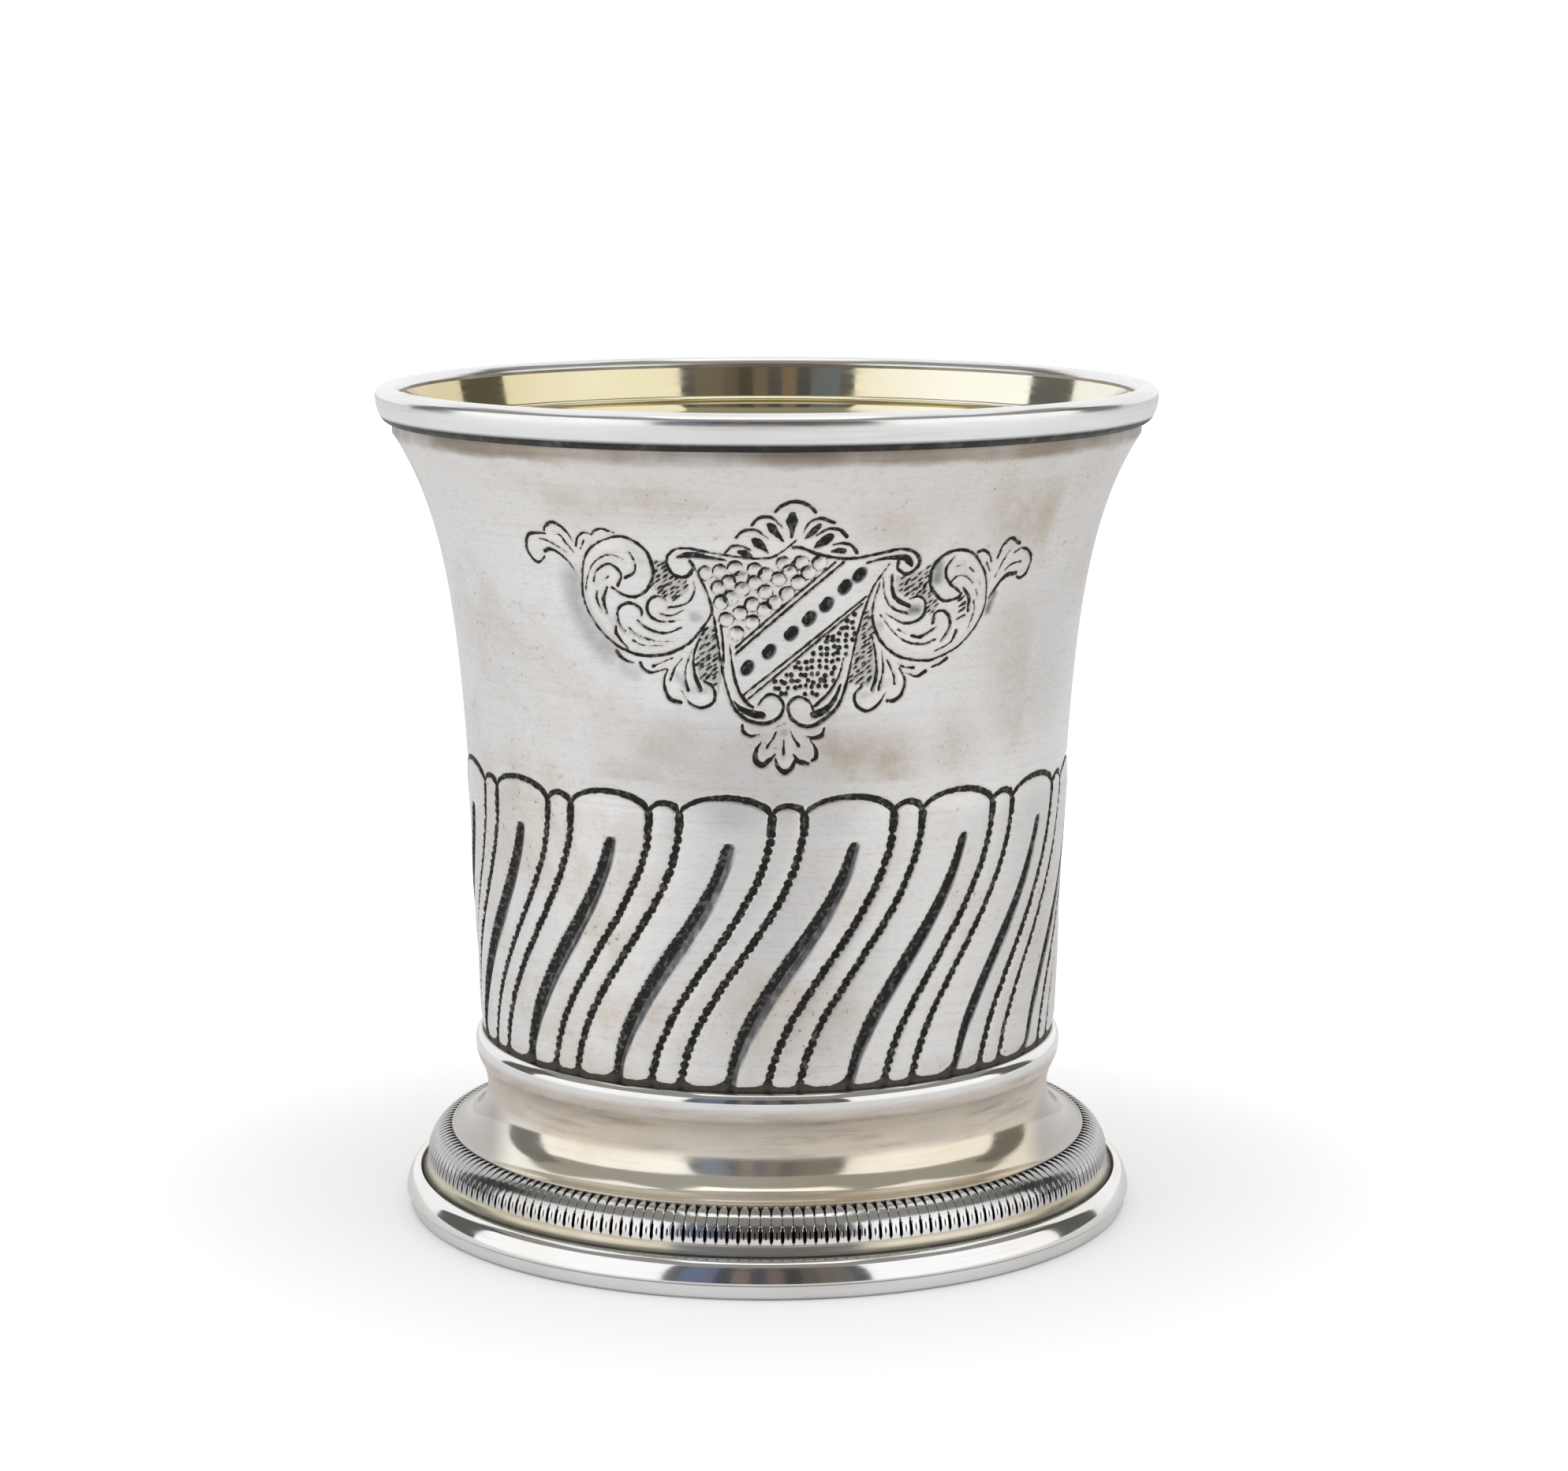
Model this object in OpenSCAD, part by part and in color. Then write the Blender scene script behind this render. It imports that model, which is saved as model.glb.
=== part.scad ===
// Footed silver beaker: flared cup with a gilt inside, chased spiral flutes, and a moulded foot.
// Millimetres, +Z up. The origin is the centre of the base, on the plane that the beaker stands on.
// The front faces -Y.

/* [Cup] */
// Outer radius of the wall where it stands on the foot
wall_foot_r = 33.6; // [30:0.1:36]
// Height of the wall from the underside of the floor to its top edge
wall_h = 76; // [66:0.5:90]
// Thickness of the sheet wall
wall_t = 0.8; // [0.7:0.05:1.4]
// How much wider the straight taper makes the wall at its top
taper_w = 2.55; // [0:0.05:5]
// How much wider the flare makes the wall at its top
flare_w = 7; // [3:0.1:9]
// Height over which the flare fades
flare_len = 11.6; // [8:0.1:16]
// Height of the upright lip above the flare
lip_h = 4.4; // [3.6:0.1:6]
// Thickness of the let-in floor
floor_t = 0.9; // [0.7:0.05:2]
// Thickness of the gilt lining
gilt_t = 0.1; // [0.08:0.01:0.3]

/* [Rim wire] */
// Height of the rim wire
rim_h = 4.1; // [3:0.1:5]
// How far the rim wire stands out from the lip
rim_w = 1.9; // [1.4:0.1:3]
// How far the rim wire laps over the top edge of the wall
rim_lap = 0.9; // [0.6:0.05:1.4]
// How far the outer face of the rim wire leans in at its lower edge
rim_lean = 0.6; // [0:0.05:0.8]
// Radius of the upper edge of the rim wire
rim_top_round = 1.1; // [0.6:0.05:1.4]
// Radius of the lower edge of the rim wire
rim_low_round = 0.5; // [0.3:0.05:0.6]

/* [Flutes] */
// Number of repeats round the wall
flute_n = 16; // [10:1:20]
// Height of the arcade's springing above the underside of the floor
spring_h = 32.3; // [26:0.1:38]
// Rise of the wide arches above the springing
wide_rise = 2.3; // [1:0.1:4]
// Rise of the narrow arches above the springing
narrow_rise = 1.4; // [0.6:0.1:3]
// Width of a narrow lobe at the springing
narrow_w = 3.5; // [2.5:0.1:5]
// Sideways swing of the flutes on their way down, in degrees
flute_swing = 24.5; // [0:0.5:40]
// Turn of the arcade about the axis, in degrees
flute_turn = 4; // [0:0.5:20]
// Width of a chased line
line_w = 0.9; // [0.5:0.05:1.3]
// Width of the line of the arches
arch_w = 0.6; // [0.4:0.05:0.9]
// Depth of a chased line
line_d = 0.35; // [0.2:0.05:0.5]
// Width of a tear-drop groove
drop_w = 1.6; // [1:0.05:2]
// Depth of a tear-drop groove
drop_d = 0.45; // [0.2:0.05:0.55]
// Height of the tear-drop's head below the springing
drop_fall = 2.6; // [1:0.1:6]

/* [Collar ring] */
// Height of the collar ring
collar_h = 4; // [3:0.1:6]
// How far the collar ring stands out from the wall
collar_w = 0.85; // [0.5:0.05:2]
// How much of the collar ring's height covers the wall
collar_lap = 1.8; // [1:0.1:2.6]

/* [Foot spool] */
// Height of the spool from its lip's seat to the underside of the floor
spool_h = 10.85; // [8:0.05:16]
// How far the neck stands back from the wall
neck_step = 0.35; // [0.1:0.05:1]
// Length of the straight neck above the hollow
neck_h = 4.1; // [2.5:0.1:5]
// Thickness of the spool's sheet
spool_t = 0.9; // [0.6:0.05:1.2]
// Width of the flange that carries the floor
flange_w = 3.2; // [2:0.1:6]
// Height of the lip's edge
spool_lip_h = 0.5; // [0.3:0.05:1]
// Width of the raised lip
spool_lip_w = 0.9; // [0.5:0.05:1.2]

/* [Milled band] */
// Number of tongues on the band
tongue_n = 208; // [100:1:240]
// Height of the band
band_h = 3.1; // [2:0.1:5]
// Spread of the band from its upper to its lower edge
band_w = 2.85; // [1.5:0.05:4]
// Thickness of the band at its edges
band_t = 0.9; // [0.6:0.05:1.2]
// Width of the slot between two tongues
slot_w = 0.36; // [0.2:0.02:0.5]
// Depth of the slots at the crown of the band
slot_d = 0.55; // [0.2:0.05:0.7]

/* [Base] */
// Outer radius of the base
base_r = 42.85; // [41:0.05:50]
// Thickness of the base moulding at its foot
base_t = 2.2; // [1.6:0.1:4]
// Radius of the roll's shoulder
roll_r = 1.5; // [0.8:0.05:2]
// Height of the roll's upright side
roll_side_h = 1.15; // [0.5:0.05:3]
// Width and depth of the groove behind the roll
groove_w = 0.3; // [0.2:0.05:0.6]
// Height of the hollow fillet above the groove
fillet_h = 1.3; // [0.8:0.05:2.5]
// Spread of the hollow fillet
fillet_w = 0.75; // [0.4:0.05:1.5]
// Width of the seat under the spool's lip
seat_w = 0.9; // [0.6:0.05:1.5]
// Height of the stand ring
stand_h = 1.7; // [1:0.05:3]
// How far the stand ring's face lies behind the roll
stand_step = 0.1; // [0.05:0.05:0.3]
// Radius of the stand ring's lower edge
stand_round = 0.35; // [0.2:0.05:0.6]

/* [Hidden] */
$fn = 96;

// Heights, from the table up
roll_top_z = stand_h + roll_side_h + roll_r;
band_z = roll_top_z + fillet_h;
seat_z = band_z + band_h;
floor_z = seat_z + spool_h;
wall_top_z = floor_z + wall_h;
lip_z = wall_top_z - lip_h;
spring_z = floor_z + spring_h;

// Radii of the foot
band_r = base_r - roll_r - groove_w - fillet_w;
spool_lip_r = band_r - band_w;
seat_r = spool_lip_r - band_t - seat_w;
neck_r = wall_foot_r - neck_step;
neck_z = floor_z - neck_h;

// Radii of the cup
lip_r = wall_foot_r + taper_w + flare_w;
floor_r = wall_foot_r - wall_t;
collar_top_z = floor_z + collar_lap;
rim_z = wall_top_z + rim_lap - rim_h;

// Steps along the curved stretches
arc_n = 8;
flare_n = 14;
line_n = 8;
drop_n = 7;
wide_n = 7;
narrow_n = 5;
band_n = 5;

// Points on an arc with half-widths rx and rz about a centre, from one angle to another
function arc(c, rx, rz, a0, a1, n = arc_n) =
    [for (i = [0:n]) c + [rx * cos(a0 + (a1 - a0) * i / n), rz * sin(a0 + (a1 - a0) * i / n)]];

// Outer radius of the wall at a height: a straight taper plus a flare that fades downwards
function wall_r(z) = z <= collar_top_z ? wall_foot_r
    : z >= lip_z ? lip_r
    : wall_foot_r + taper_w * (z - collar_top_z) / (lip_z - collar_top_z)
        + flare_w * (exp((z - lip_z) / flare_len) - exp((collar_top_z - lip_z) / flare_len))
        / (1 - exp((collar_top_z - lip_z) / flare_len));

// Heights along the wall, closer together towards the flare
wall_zs = concat([floor_z],
    [for (i = [0:flare_n]) collar_top_z + (lip_z - collar_top_z) * (1 - pow(1 - i / flare_n, 1.6))],
    [wall_top_z]);
function wall_line(step, from_z = floor_z) =
    [for (z = wall_zs) [wall_r(z) - step, max(z, from_z)]];
function flip(pts) = [for (i = [len(pts) - 1:-1:0]) pts[i]];

// Sideways swing of a flute at a height: none at the springing, full one flute length below
flute_len = spring_z - floor_z;
function swing(z) = -flute_swing * (1 - cos(180 * min(1, max(0, (spring_z - z) / flute_len)))) / 2;

// How far a cutter reaches out of the skin
cut_lift = 0.15;

// A ring of a V-shaped cutter: its keel under the skin and two corners outside it
function keel_ring(p, along, w, d) =
    let (out = [p[0], p[1], 0] / norm([p[0], p[1]]), side = cross(out, along) / norm(cross(out, along)),
        half = w / 2 * (1 + cut_lift / d))
    [p - d * out, p + cut_lift * out + half * side, p + cut_lift * out - half * side];

// The six side triangles between the three-cornered rings a and b
function keel_sides(a, b) =
    [for (k = [0:2]) let (m = (k + 1) % 3) each [[a + k, b + k, a + m], [a + m, b + k, b + m]]];

// A point on the wall at an angle from the front and a height
function on_wall(a, z) = [wall_r(z) * sin(a), -wall_r(z) * cos(a), z];

// Angles of one repeat and of half a narrow lobe
flute_pitch = 360 / flute_n;
narrow_half = narrow_w / wall_r(spring_z) * 90 / PI;
flute_low_z = collar_top_z + line_w / 2;

// A chased line along points on the wall, as a cutter
module chased(path, ws, ds) {
    n = len(path);
    rings = [for (i = [0:n - 1])
        each keel_ring(path[i], path[min(n - 1, i + 1)] - path[max(0, i - 1)], ws[i], ds[i])];
    sides = [for (i = [0:n - 2]) each keel_sides(3 * i, 3 * i + 3)];
    polyhedron(rings, concat([[0, 1, 2]], sides, [[3 * n - 1, 3 * n - 2, 3 * n - 3]]));
}

// One repeat of the fluting: the two lines of a narrow lobe and the tear-drop of a wide one
module flute_cutters() {
    line_top_z = spring_z - line_w;
    for (side = [-1, 1]) {
        path = [for (i = [0:line_n])
            let (z = flute_low_z + (line_top_z - flute_low_z) * i / line_n)
            on_wall(side * narrow_half + swing(z), z)];
        chased(path, [for (p = path) line_w], [for (p = path) line_d]);
    }
    drop_top_z = spring_z - drop_fall;
    drop = [for (i = [0:drop_n])
        let (z = drop_top_z - (drop_top_z - flute_low_z) * i / drop_n)
        on_wall(flute_pitch / 2 + swing(z), z)];
    chased(drop, [for (i = [0:drop_n]) drop_w * (i == 0 ? 0.5 : 1 - 0.5 * pow(i / drop_n, 2))],
        [for (i = [0:drop_n]) drop_d * (i == 0 ? 0.5 : 1 - 0.3 * pow(i / drop_n, 2))]);
}

// One arch from its left to its right springing, without its last point
function arch(mid, half, rise, n) =
    [for (i = [0:n - 1])
        let (a = 180 * (1 - i / n))
        on_wall(mid + half * cos(a), spring_z + rise * sin(a))];

// The arcade above the flutes: narrow and wide arches by turns, one closed line round the wall
module arcade_cutter() {
    path = [for (k = [0:flute_n - 1]) each concat(
        arch(flute_pitch * k, narrow_half, narrow_rise, narrow_n),
        arch(flute_pitch * (k + 0.5), flute_pitch / 2 - narrow_half, wide_rise, wide_n))];
    n = len(path);
    rings = [for (i = [0:n - 1])
        each keel_ring(path[i], path[(i + 1) % n] - path[(i + n - 1) % n], arch_w, line_d)];
    polyhedron(rings, [for (i = [0:n - 1]) each keel_sides(3 * i, 3 * ((i + 1) % n))]);
}

// Flat ring that the beaker stands on
module stand_ring() {
    r = base_r - stand_step;
    color("silver") rotate_extrude()
        polygon(concat([[base_r - base_t, 0]],
            arc([r - stand_round, stand_round], stand_round, stand_round, -90, 0, 4),
            [[r, stand_h], [base_r - base_t, stand_h]]));
}

// Moulding with a roll, a groove and a hollow fillet, and the seats for the band and the spool
module base_moulding() {
    groove_r = base_r - roll_r - groove_w;
    color("silver") rotate_extrude()
        polygon(concat([[base_r - base_t, stand_h], [base_r, stand_h]],
            arc([base_r - roll_r, roll_top_z - roll_r], roll_r, roll_r, 0, 90),
            [[base_r - roll_r - groove_w / 2, roll_top_z - groove_w]],
            arc([groove_r, band_z], fillet_w, fillet_h, 270, 180, 5),
            [[band_r - band_t, band_z], [spool_lip_r - band_t, seat_z], [seat_r, seat_z]]));
}

// Applied band of rounded tongues, milled as a strip and bent round the foot
module milled_band() {
    slope = atan2(band_h, band_w);
    reach = norm([band_w, band_h]) * 1.2;
    crown = (sqrt(2) - 1) * band_h * cos(slope);
    color("lightgray") difference() {
        rotate_extrude() polygon(concat(
            arc([spool_lip_r, band_z], band_w, band_h, 90, 0, band_n),
            [[band_r - band_t, band_z], [spool_lip_r - band_t, seat_z]]));
        for (i = [0:tongue_n - 1])
            rotate(360 * i / tongue_n)
                translate([spool_lip_r + band_w / 2, 0, band_z + band_h / 2])
                    rotate([0, slope, 0])
                        translate([-reach / 2, -slot_w / 2, crown - slot_d])
                            cube([reach, slot_w, band_t + slot_d]);
    }
}

// Spun foot with a flange under the floor, a straight neck, a hollow and a raised lip
module foot_spool() {
    hollow_r = spool_lip_r - spool_lip_w;
    hollow_z = seat_z + spool_lip_h;
    color("silver") rotate_extrude()
        polygon(concat([[neck_r - flange_w, floor_z], [neck_r, floor_z]],
            arc([hollow_r, neck_z], hollow_r - neck_r, neck_z - hollow_z, 180, 270),
            arc([spool_lip_r - spool_lip_w / 2, hollow_z], spool_lip_w / 2, spool_lip_w / 4, 160, 0, 5),
            [[spool_lip_r, seat_z]],
            arc([seat_r, neck_z], seat_r - neck_r + spool_t, neck_z - seat_z, 270, 180),
            [[neck_r - spool_t, floor_z - spool_t], [neck_r - flange_w, floor_z - spool_t]]));
}

// Half-round ring over the joint of cup and foot
module collar_ring() {
    half = collar_h / 2;
    mid_z = collar_top_z - half;
    color("silver") rotate_extrude()
        polygon(concat([[neck_r, mid_z - half]],
            arc([neck_r, mid_z], collar_w + neck_step, half, -75, 75, 10),
            [[wall_foot_r, collar_top_z], [wall_foot_r, floor_z], [neck_r, floor_z]]));
}

// Disc let into the foot of the wall
module cup_floor() {
    color("silver") translate([0, 0, floor_z]) cylinder(r = floor_r, h = floor_t);
}

// Flared sheet wall with the chased fluting
module cup_wall() {
    color("gainsboro") difference() {
        rotate_extrude() polygon(concat(wall_line(0), flip(wall_line(wall_t))));
        for (k = [0:flute_n - 1])
            rotate(flute_turn + flute_pitch * k) flute_cutters();
        rotate(flute_turn) arcade_cutter();
    }
}

// Gilt skin over the inside of the wall and the floor
module gilt_lining() {
    gilt_z = floor_z + floor_t;
    color("gold") rotate_extrude()
        polygon(concat([[0, gilt_z]], wall_line(wall_t, gilt_z),
            flip(wall_line(wall_t + gilt_t, gilt_z + gilt_t)), [[0, gilt_z + gilt_t]]));
}

// Applied wire that laps over the top edge of the wall, undercut below
module rim_wire() {
    out_r = lip_r + rim_w;
    top_z = wall_top_z + rim_lap;
    in_r = lip_r - wall_t;
    low_r = out_r - rim_lean;
    in_round = rim_lap / 2;
    color("silver") rotate_extrude()
        polygon(concat([[in_r, wall_top_z], [lip_r, wall_top_z], [lip_r, rim_z + rim_low_round]],
            arc([low_r - rim_low_round, rim_z + rim_low_round], rim_low_round, rim_low_round, -90, 0, 5),
            arc([out_r - rim_top_round, top_z - rim_top_round], rim_top_round, rim_top_round, 0, 90),
            arc([in_r + in_round, top_z - in_round], in_round, in_round, 90, 180, 5)));
}

stand_ring();
base_moulding();
milled_band();
foot_spool();
collar_ring();
cup_floor();
cup_wall();
gilt_lining();
rim_wire();
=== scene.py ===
"""Looks of a footed silver beaker.

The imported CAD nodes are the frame. Each turned ring is replaced by a fine lathe mesh of the same
section, the milled band by its tongues, and the wall by one mesh with the chased flutes and the
scrolled cartouche cut into it. Sizes are in millimetres and become metres when a mesh is made.
"""
import math

import bpy
import numpy as np
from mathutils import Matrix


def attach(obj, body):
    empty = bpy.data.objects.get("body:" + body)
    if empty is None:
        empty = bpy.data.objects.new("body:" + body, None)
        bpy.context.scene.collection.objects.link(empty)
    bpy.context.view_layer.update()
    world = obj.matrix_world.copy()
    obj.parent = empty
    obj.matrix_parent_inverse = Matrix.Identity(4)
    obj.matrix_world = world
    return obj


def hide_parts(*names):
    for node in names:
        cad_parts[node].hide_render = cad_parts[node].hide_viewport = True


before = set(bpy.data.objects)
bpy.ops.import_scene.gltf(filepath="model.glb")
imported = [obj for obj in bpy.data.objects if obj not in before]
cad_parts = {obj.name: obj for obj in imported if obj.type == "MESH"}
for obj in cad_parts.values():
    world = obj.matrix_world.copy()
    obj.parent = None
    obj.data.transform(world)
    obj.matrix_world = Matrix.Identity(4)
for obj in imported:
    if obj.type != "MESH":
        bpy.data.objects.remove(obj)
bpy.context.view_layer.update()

MM = 0.001
SEED = 7
FULL_TURN = 2 * math.pi

# Heights above the table
STAND_H = 1.7
ROLL_TOP_Z = 4.35
BAND_Z = 5.65
SEAT_Z = 8.75
WAIST_Z = 14.2
COLLAR_LOW_Z = 17.3
COLLAR_NOSE_Z = 19.7
FLOOR_Z = 19.6
COLLAR_TOP_Z = 21.4
SPRING_Z = 51.9
LIP_Z = 91.2
WALL_TOP_Z = 95.6
RIM_Z = 92.4
GOLD_TOP_Z = 95.25
RIM_NOSE_Z = 95.5
RIM_TOP_Z = 96.5

# Radii from the axis
BASE_R = 42.85
BASE_IN_R = 40.65
STAND_R = 42.4
GROOVE_R = 41.1
BAND_R = 40.3
SPOOL_LIP_R = 37.45
SEAT_R = 35.65
NECK_R = 33.25
WAIST_R = 33.13
COLLAR_R = 34.5
FLANGE_R = 30.05
FOOT_R = 33.6
LIP_R = 43.15
RIM_R = 45.05

# Thicknesses, roundings and widths
GROOVE_W = 0.3
FILLET_W = 0.75
FILLET_H = 1.3
BAND_T = 0.9
SPOOL_T = 0.9
SPOOL_LIP_W = 0.3
SPOOL_LIP_H = 0.5
WALL_T = 0.8
FLOOR_T = 0.9
GILT_T = 0.1
RIM_IN_ROUND = 1.0
LIP_INSET = 0.95
LIP_SETTLE = 2.6
BEND_RIDGE = 0.25
BEND_LOW_W = 0.5
BEND_HIGH_W = 0.16
CORNER_ROUND = 1.5

# Lean of the neck under the collar, in degrees
NECK_LEAN = 28

# The wall's line: a straight taper plus a flare that fades downwards
TAPER_W = 2.55
FLARE_W = 7.0
FLARE_LEN = 11.6

# The fluting; pitch, turn, swing and half-width in degrees
FLUTE_N = 16
FLUTE_PITCH = 360 / FLUTE_N
FLUTE_TURN = 4.0
FLUTE_SWING = 23.4
NARROW_HALF = 2.9
WIDE_HALF = FLUTE_PITCH / 2 - NARROW_HALF
NARROW_RISE = 1.4
WIDE_RISE = 2.25
ARCADE_SAG = 0.4
LINE_W = 1.02
CORE_SHARE = 0.2
TOP_CORE_SHARE = 0.48
ARCH_W = 0.68
BEAD_N = 64
BEAD_PITCH = 0.96
BEAD_DEPTH = 0.3
BEAD_WANDER = (.05, .08)
PLAIN_END = 1.2
ARCH_DEPTH = 0.22
ARCH_SWELL = 0.25
DROP_TOP_Z = 49.2
DROP_W = 1.9
DROP_SHIFT = 0.75
DROP_DEPTH = 0.42
DROP_SHADE_GREY = 0.95
DROP_HEAD = 0.4
DROP_RIGHT_LESS = 0.18
DROP_T = (0, .12, .45, .75, .92, 1)
DROP_SHARE = (.72, .85, 1.1, 1, .68, .62)
STIPPLE_PITCH = 0.85
STIPPLE_DEPTH = 0.12
STIPPLE_SHARE = 0.1
RIGHT_LOBE_SHADE_SHARE = 0.65
END_Z = 21.6
END_RISE = 0.8
NARROW_SWELL = 0.2
WIDE_SWELL = 0.32

# The cartouche is drawn on the wall unrolled at this radius: s to the right, z up
DRAW_R = 37.0
STROKE_DEPTH = 0.16
PIT_DEPTH = 0.2
STROKE_GAIN = 1.1
STROKE_MORE = 0.02
FIELD_REACH = 0.6
FAR = 9.0
OUT_OF_LINE = 0.16
DOT_STEP = 0.72
DOT_WIDTHS = (.46, .54)
HATCH_STEP = 0.72
HATCH_ROW = 0.54
HATCH_SLANT = np.array([.8, .6])
HATCH_WIDTHS = (.14, .28, .14)
HATCH_GREY = 0.32
SCALE_LINE_W = 0.09
SCALE_SHADE_W = 0.2
SCALE_RISE = 0.2
SCALE_GREY = 0.36
BEND_Z = 73.9
BEND_SLOPE = 0.89
PELLET_ENDS = np.array([(-.3, -.15), (.1, .35)])
PELLET_LESS = 0.25
PELLET_COS = 0.83
PELLET_SIN = 0.55
PELLET_SHORT = 0.65

# Tongues of the milled band, and half the width of the slot between them from its top to its bottom
TONGUE_N = 208
SLOT_T = (0, .1, .24, .4, .56, .64, .72, .93, .97, 1)
SLOT_HALF = (.4, .28, .11, 0, -.005, .02, .12, .15, .05, -.1)
SLOT_DEPTH = 0.5
TONGUE_CROWN = 0.008
DIMPLE_AT = 0.82
DIMPLE_LEN = 0.085
DIMPLE_W = 0.1
DIMPLE_DEPTH = 0.1


# Section helpers

def arc(cr, cz, rr, rz, start, end, n=12):
    """Points on an arc with half-widths rr and rz about a centre, angles in degrees."""
    a = np.radians(np.linspace(start, end, n + 1))
    return [(cr + rr * math.cos(t), cz + rz * math.sin(t)) for t in a]


def worn_and_shaded(points, grime_and_shade=0.0, warm=0.0):
    """Adds dark grime and painted shade, and warm tarnish, one number or one per point, to points of a
    section.
    """
    grime_and_shade_values = np.broadcast_to(grime_and_shade, len(points))
    warms = np.broadcast_to(warm, len(points))
    return [(r, z, g, w) for (r, z), g, w in zip(points, grime_and_shade_values, warms)]


def wall_r(z):
    """Outer radius of the wall at heights z."""
    z = np.clip(z, COLLAR_TOP_Z, LIP_Z)
    low = math.exp((COLLAR_TOP_Z - LIP_Z) / FLARE_LEN)
    flare = (np.exp((z - LIP_Z) / FLARE_LEN) - low) / (1 - low)
    return FOOT_R + TAPER_W * (z - COLLAR_TOP_Z) / (LIP_Z - COLLAR_TOP_Z) + FLARE_W * flare


def smooth(low, high, x):
    """Smooth step from 0 at low to 1 at high; low may be the larger one."""
    t = np.clip((x - low) / (high - low), 0, 1)
    return t * t * (3 - 2 * t)


# Mesh helpers

def on_axis(theta, r, z):
    """Points at angles from the front, positive to the right, at radii and heights."""
    return np.stack([r * np.sin(theta), -r * np.cos(theta), np.broadcast_to(z, np.shape(theta))], axis=-1)


def all_round(n, start=-math.pi):
    """Angles of n points spread evenly round the axis."""
    return np.linspace(start, start + FULL_TURN, n, endpoint=False)


def ring_quads(first_a, first_b, n):
    """Quads between two rings of n points each."""
    i = np.arange(n)
    j = (i + 1) % n
    return np.stack([first_a + i, first_a + j, first_b + j, first_b + i], axis=1)


def tube_quads(count, n):
    """Quads of a closed tube of rings with n points each."""
    return [ring_quads(k * n, (k + 1) % count * n, n) for k in range(count)]


def ring_zip(first_a, theta_a, first_b, theta_b):
    """Triangles between two rings whose points stand at different angles."""
    na, nb = len(theta_a), len(theta_b)
    next_a = np.append(theta_a[1:], theta_a[0] + FULL_TURN)
    next_b = np.append(theta_b[1:], theta_b[0] + FULL_TURN)
    i = j = 0
    faces = []
    while i < na or j < nb:
        if j == nb or (i < na and next_a[i] <= next_b[j]):
            faces.append((first_a + i % na, first_a + (i + 1) % na, first_b + j % nb))
            i += 1
        else:
            faces.append((first_a + i % na, first_b + (j + 1) % nb, first_b + j % nb))
            j += 1
    return np.array(faces)


def zip_turned(first_a, theta_a, first_b, theta_b):
    """Joins two rings after turning the second one's list to start next to the first one's start."""
    turned = (theta_b - theta_a[0]) % FULL_TURN
    start = int(np.argmin(turned))
    order = (np.arange(len(theta_b)) + start) % len(theta_b)
    faces = ring_zip(0, theta_a, len(theta_a), theta_a[0] + turned[order])
    upper = faces >= len(theta_a)
    return np.where(upper, first_b + order[np.where(upper, faces - len(theta_a), 0)], first_a + faces)


def build_piece(name, points, face_sets, layers, material, sharp_deg):
    """Makes a smooth piece from points in mm, faces and named vertex values, and puts it in the frame."""
    mesh = bpy.data.meshes.new(name)
    mesh.vertices.add(len(points))
    mesh.vertices.foreach_set("co", (points * MM).astype(np.float32).ravel())
    corners = np.concatenate([f.ravel() for f in face_sets])
    sizes = np.concatenate([np.full(len(f), f.shape[1]) for f in face_sets])
    mesh.loops.add(len(corners))
    mesh.loops.foreach_set("vertex_index", corners.astype(np.int32))
    mesh.polygons.add(len(sizes))
    mesh.polygons.foreach_set("loop_start", np.concatenate([[0], np.cumsum(sizes)[:-1]]).astype(np.int32))
    mesh.update(calc_edges=True)
    mesh.shade_smooth()
    mesh.set_sharp_from_angle(angle=math.radians(sharp_deg))
    for layer, values in layers.items():
        data = mesh.attributes.new(layer, "FLOAT", "POINT")
        data.data.foreach_set("value", np.asarray(values, np.float32))
    mesh.materials.append(material)
    obj = bpy.data.objects.new(name, mesh)
    bpy.context.scene.collection.objects.link(obj)
    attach(obj, "root")
    return obj


def lathe(name, section, material, node, n=288, sharp_deg=35):
    """Turns a closed section of (radius, height, grime and painted shade, warmth), counter-clockwise, into a
    ring.
    """
    section = np.array(section)
    points = np.concatenate([on_axis(all_round(n), r, z) for r, z in section[:, :2]])
    layers = {"grime_and_shade": np.repeat(section[:, 2], n), "warm": np.repeat(section[:, 3], n)}
    obj = build_piece(name, points, tube_quads(len(section), n), layers, material, sharp_deg)
    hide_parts(node)
    return obj


# Stroke fields of the cartouche, on a grid of points

PATCH_S = np.arange(-29.8, 34.2, 0.16)
PATCH_Z = np.arange(55.8, 88.2, 0.16)
GRID_S, GRID_Z = np.meshgrid(PATCH_S, PATCH_Z)


def spline(points, n=8):
    """A smooth curve through the points."""
    p = np.array(points, float)
    q = np.vstack([2 * p[0] - p[1], p, 2 * p[-1] - p[-2]])
    t = np.linspace(0, 1, n, endpoint=False)[:, None]
    spans = [0.5 * (2 * b + (c - a) * t + (2 * a - 5 * b + 4 * c - d) * t ** 2
                    + (3 * b - a - 3 * c + d) * t ** 3)
             for a, b, c, d in zip(q[:-3], q[1:-2], q[2:-1], q[3:])]
    return np.vstack(spans + [p[-1:]])


def along(values, n):
    """Values spread evenly over n places."""
    return np.interp(np.linspace(0, 1, n), np.linspace(0, 1, len(values)), values)


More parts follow.
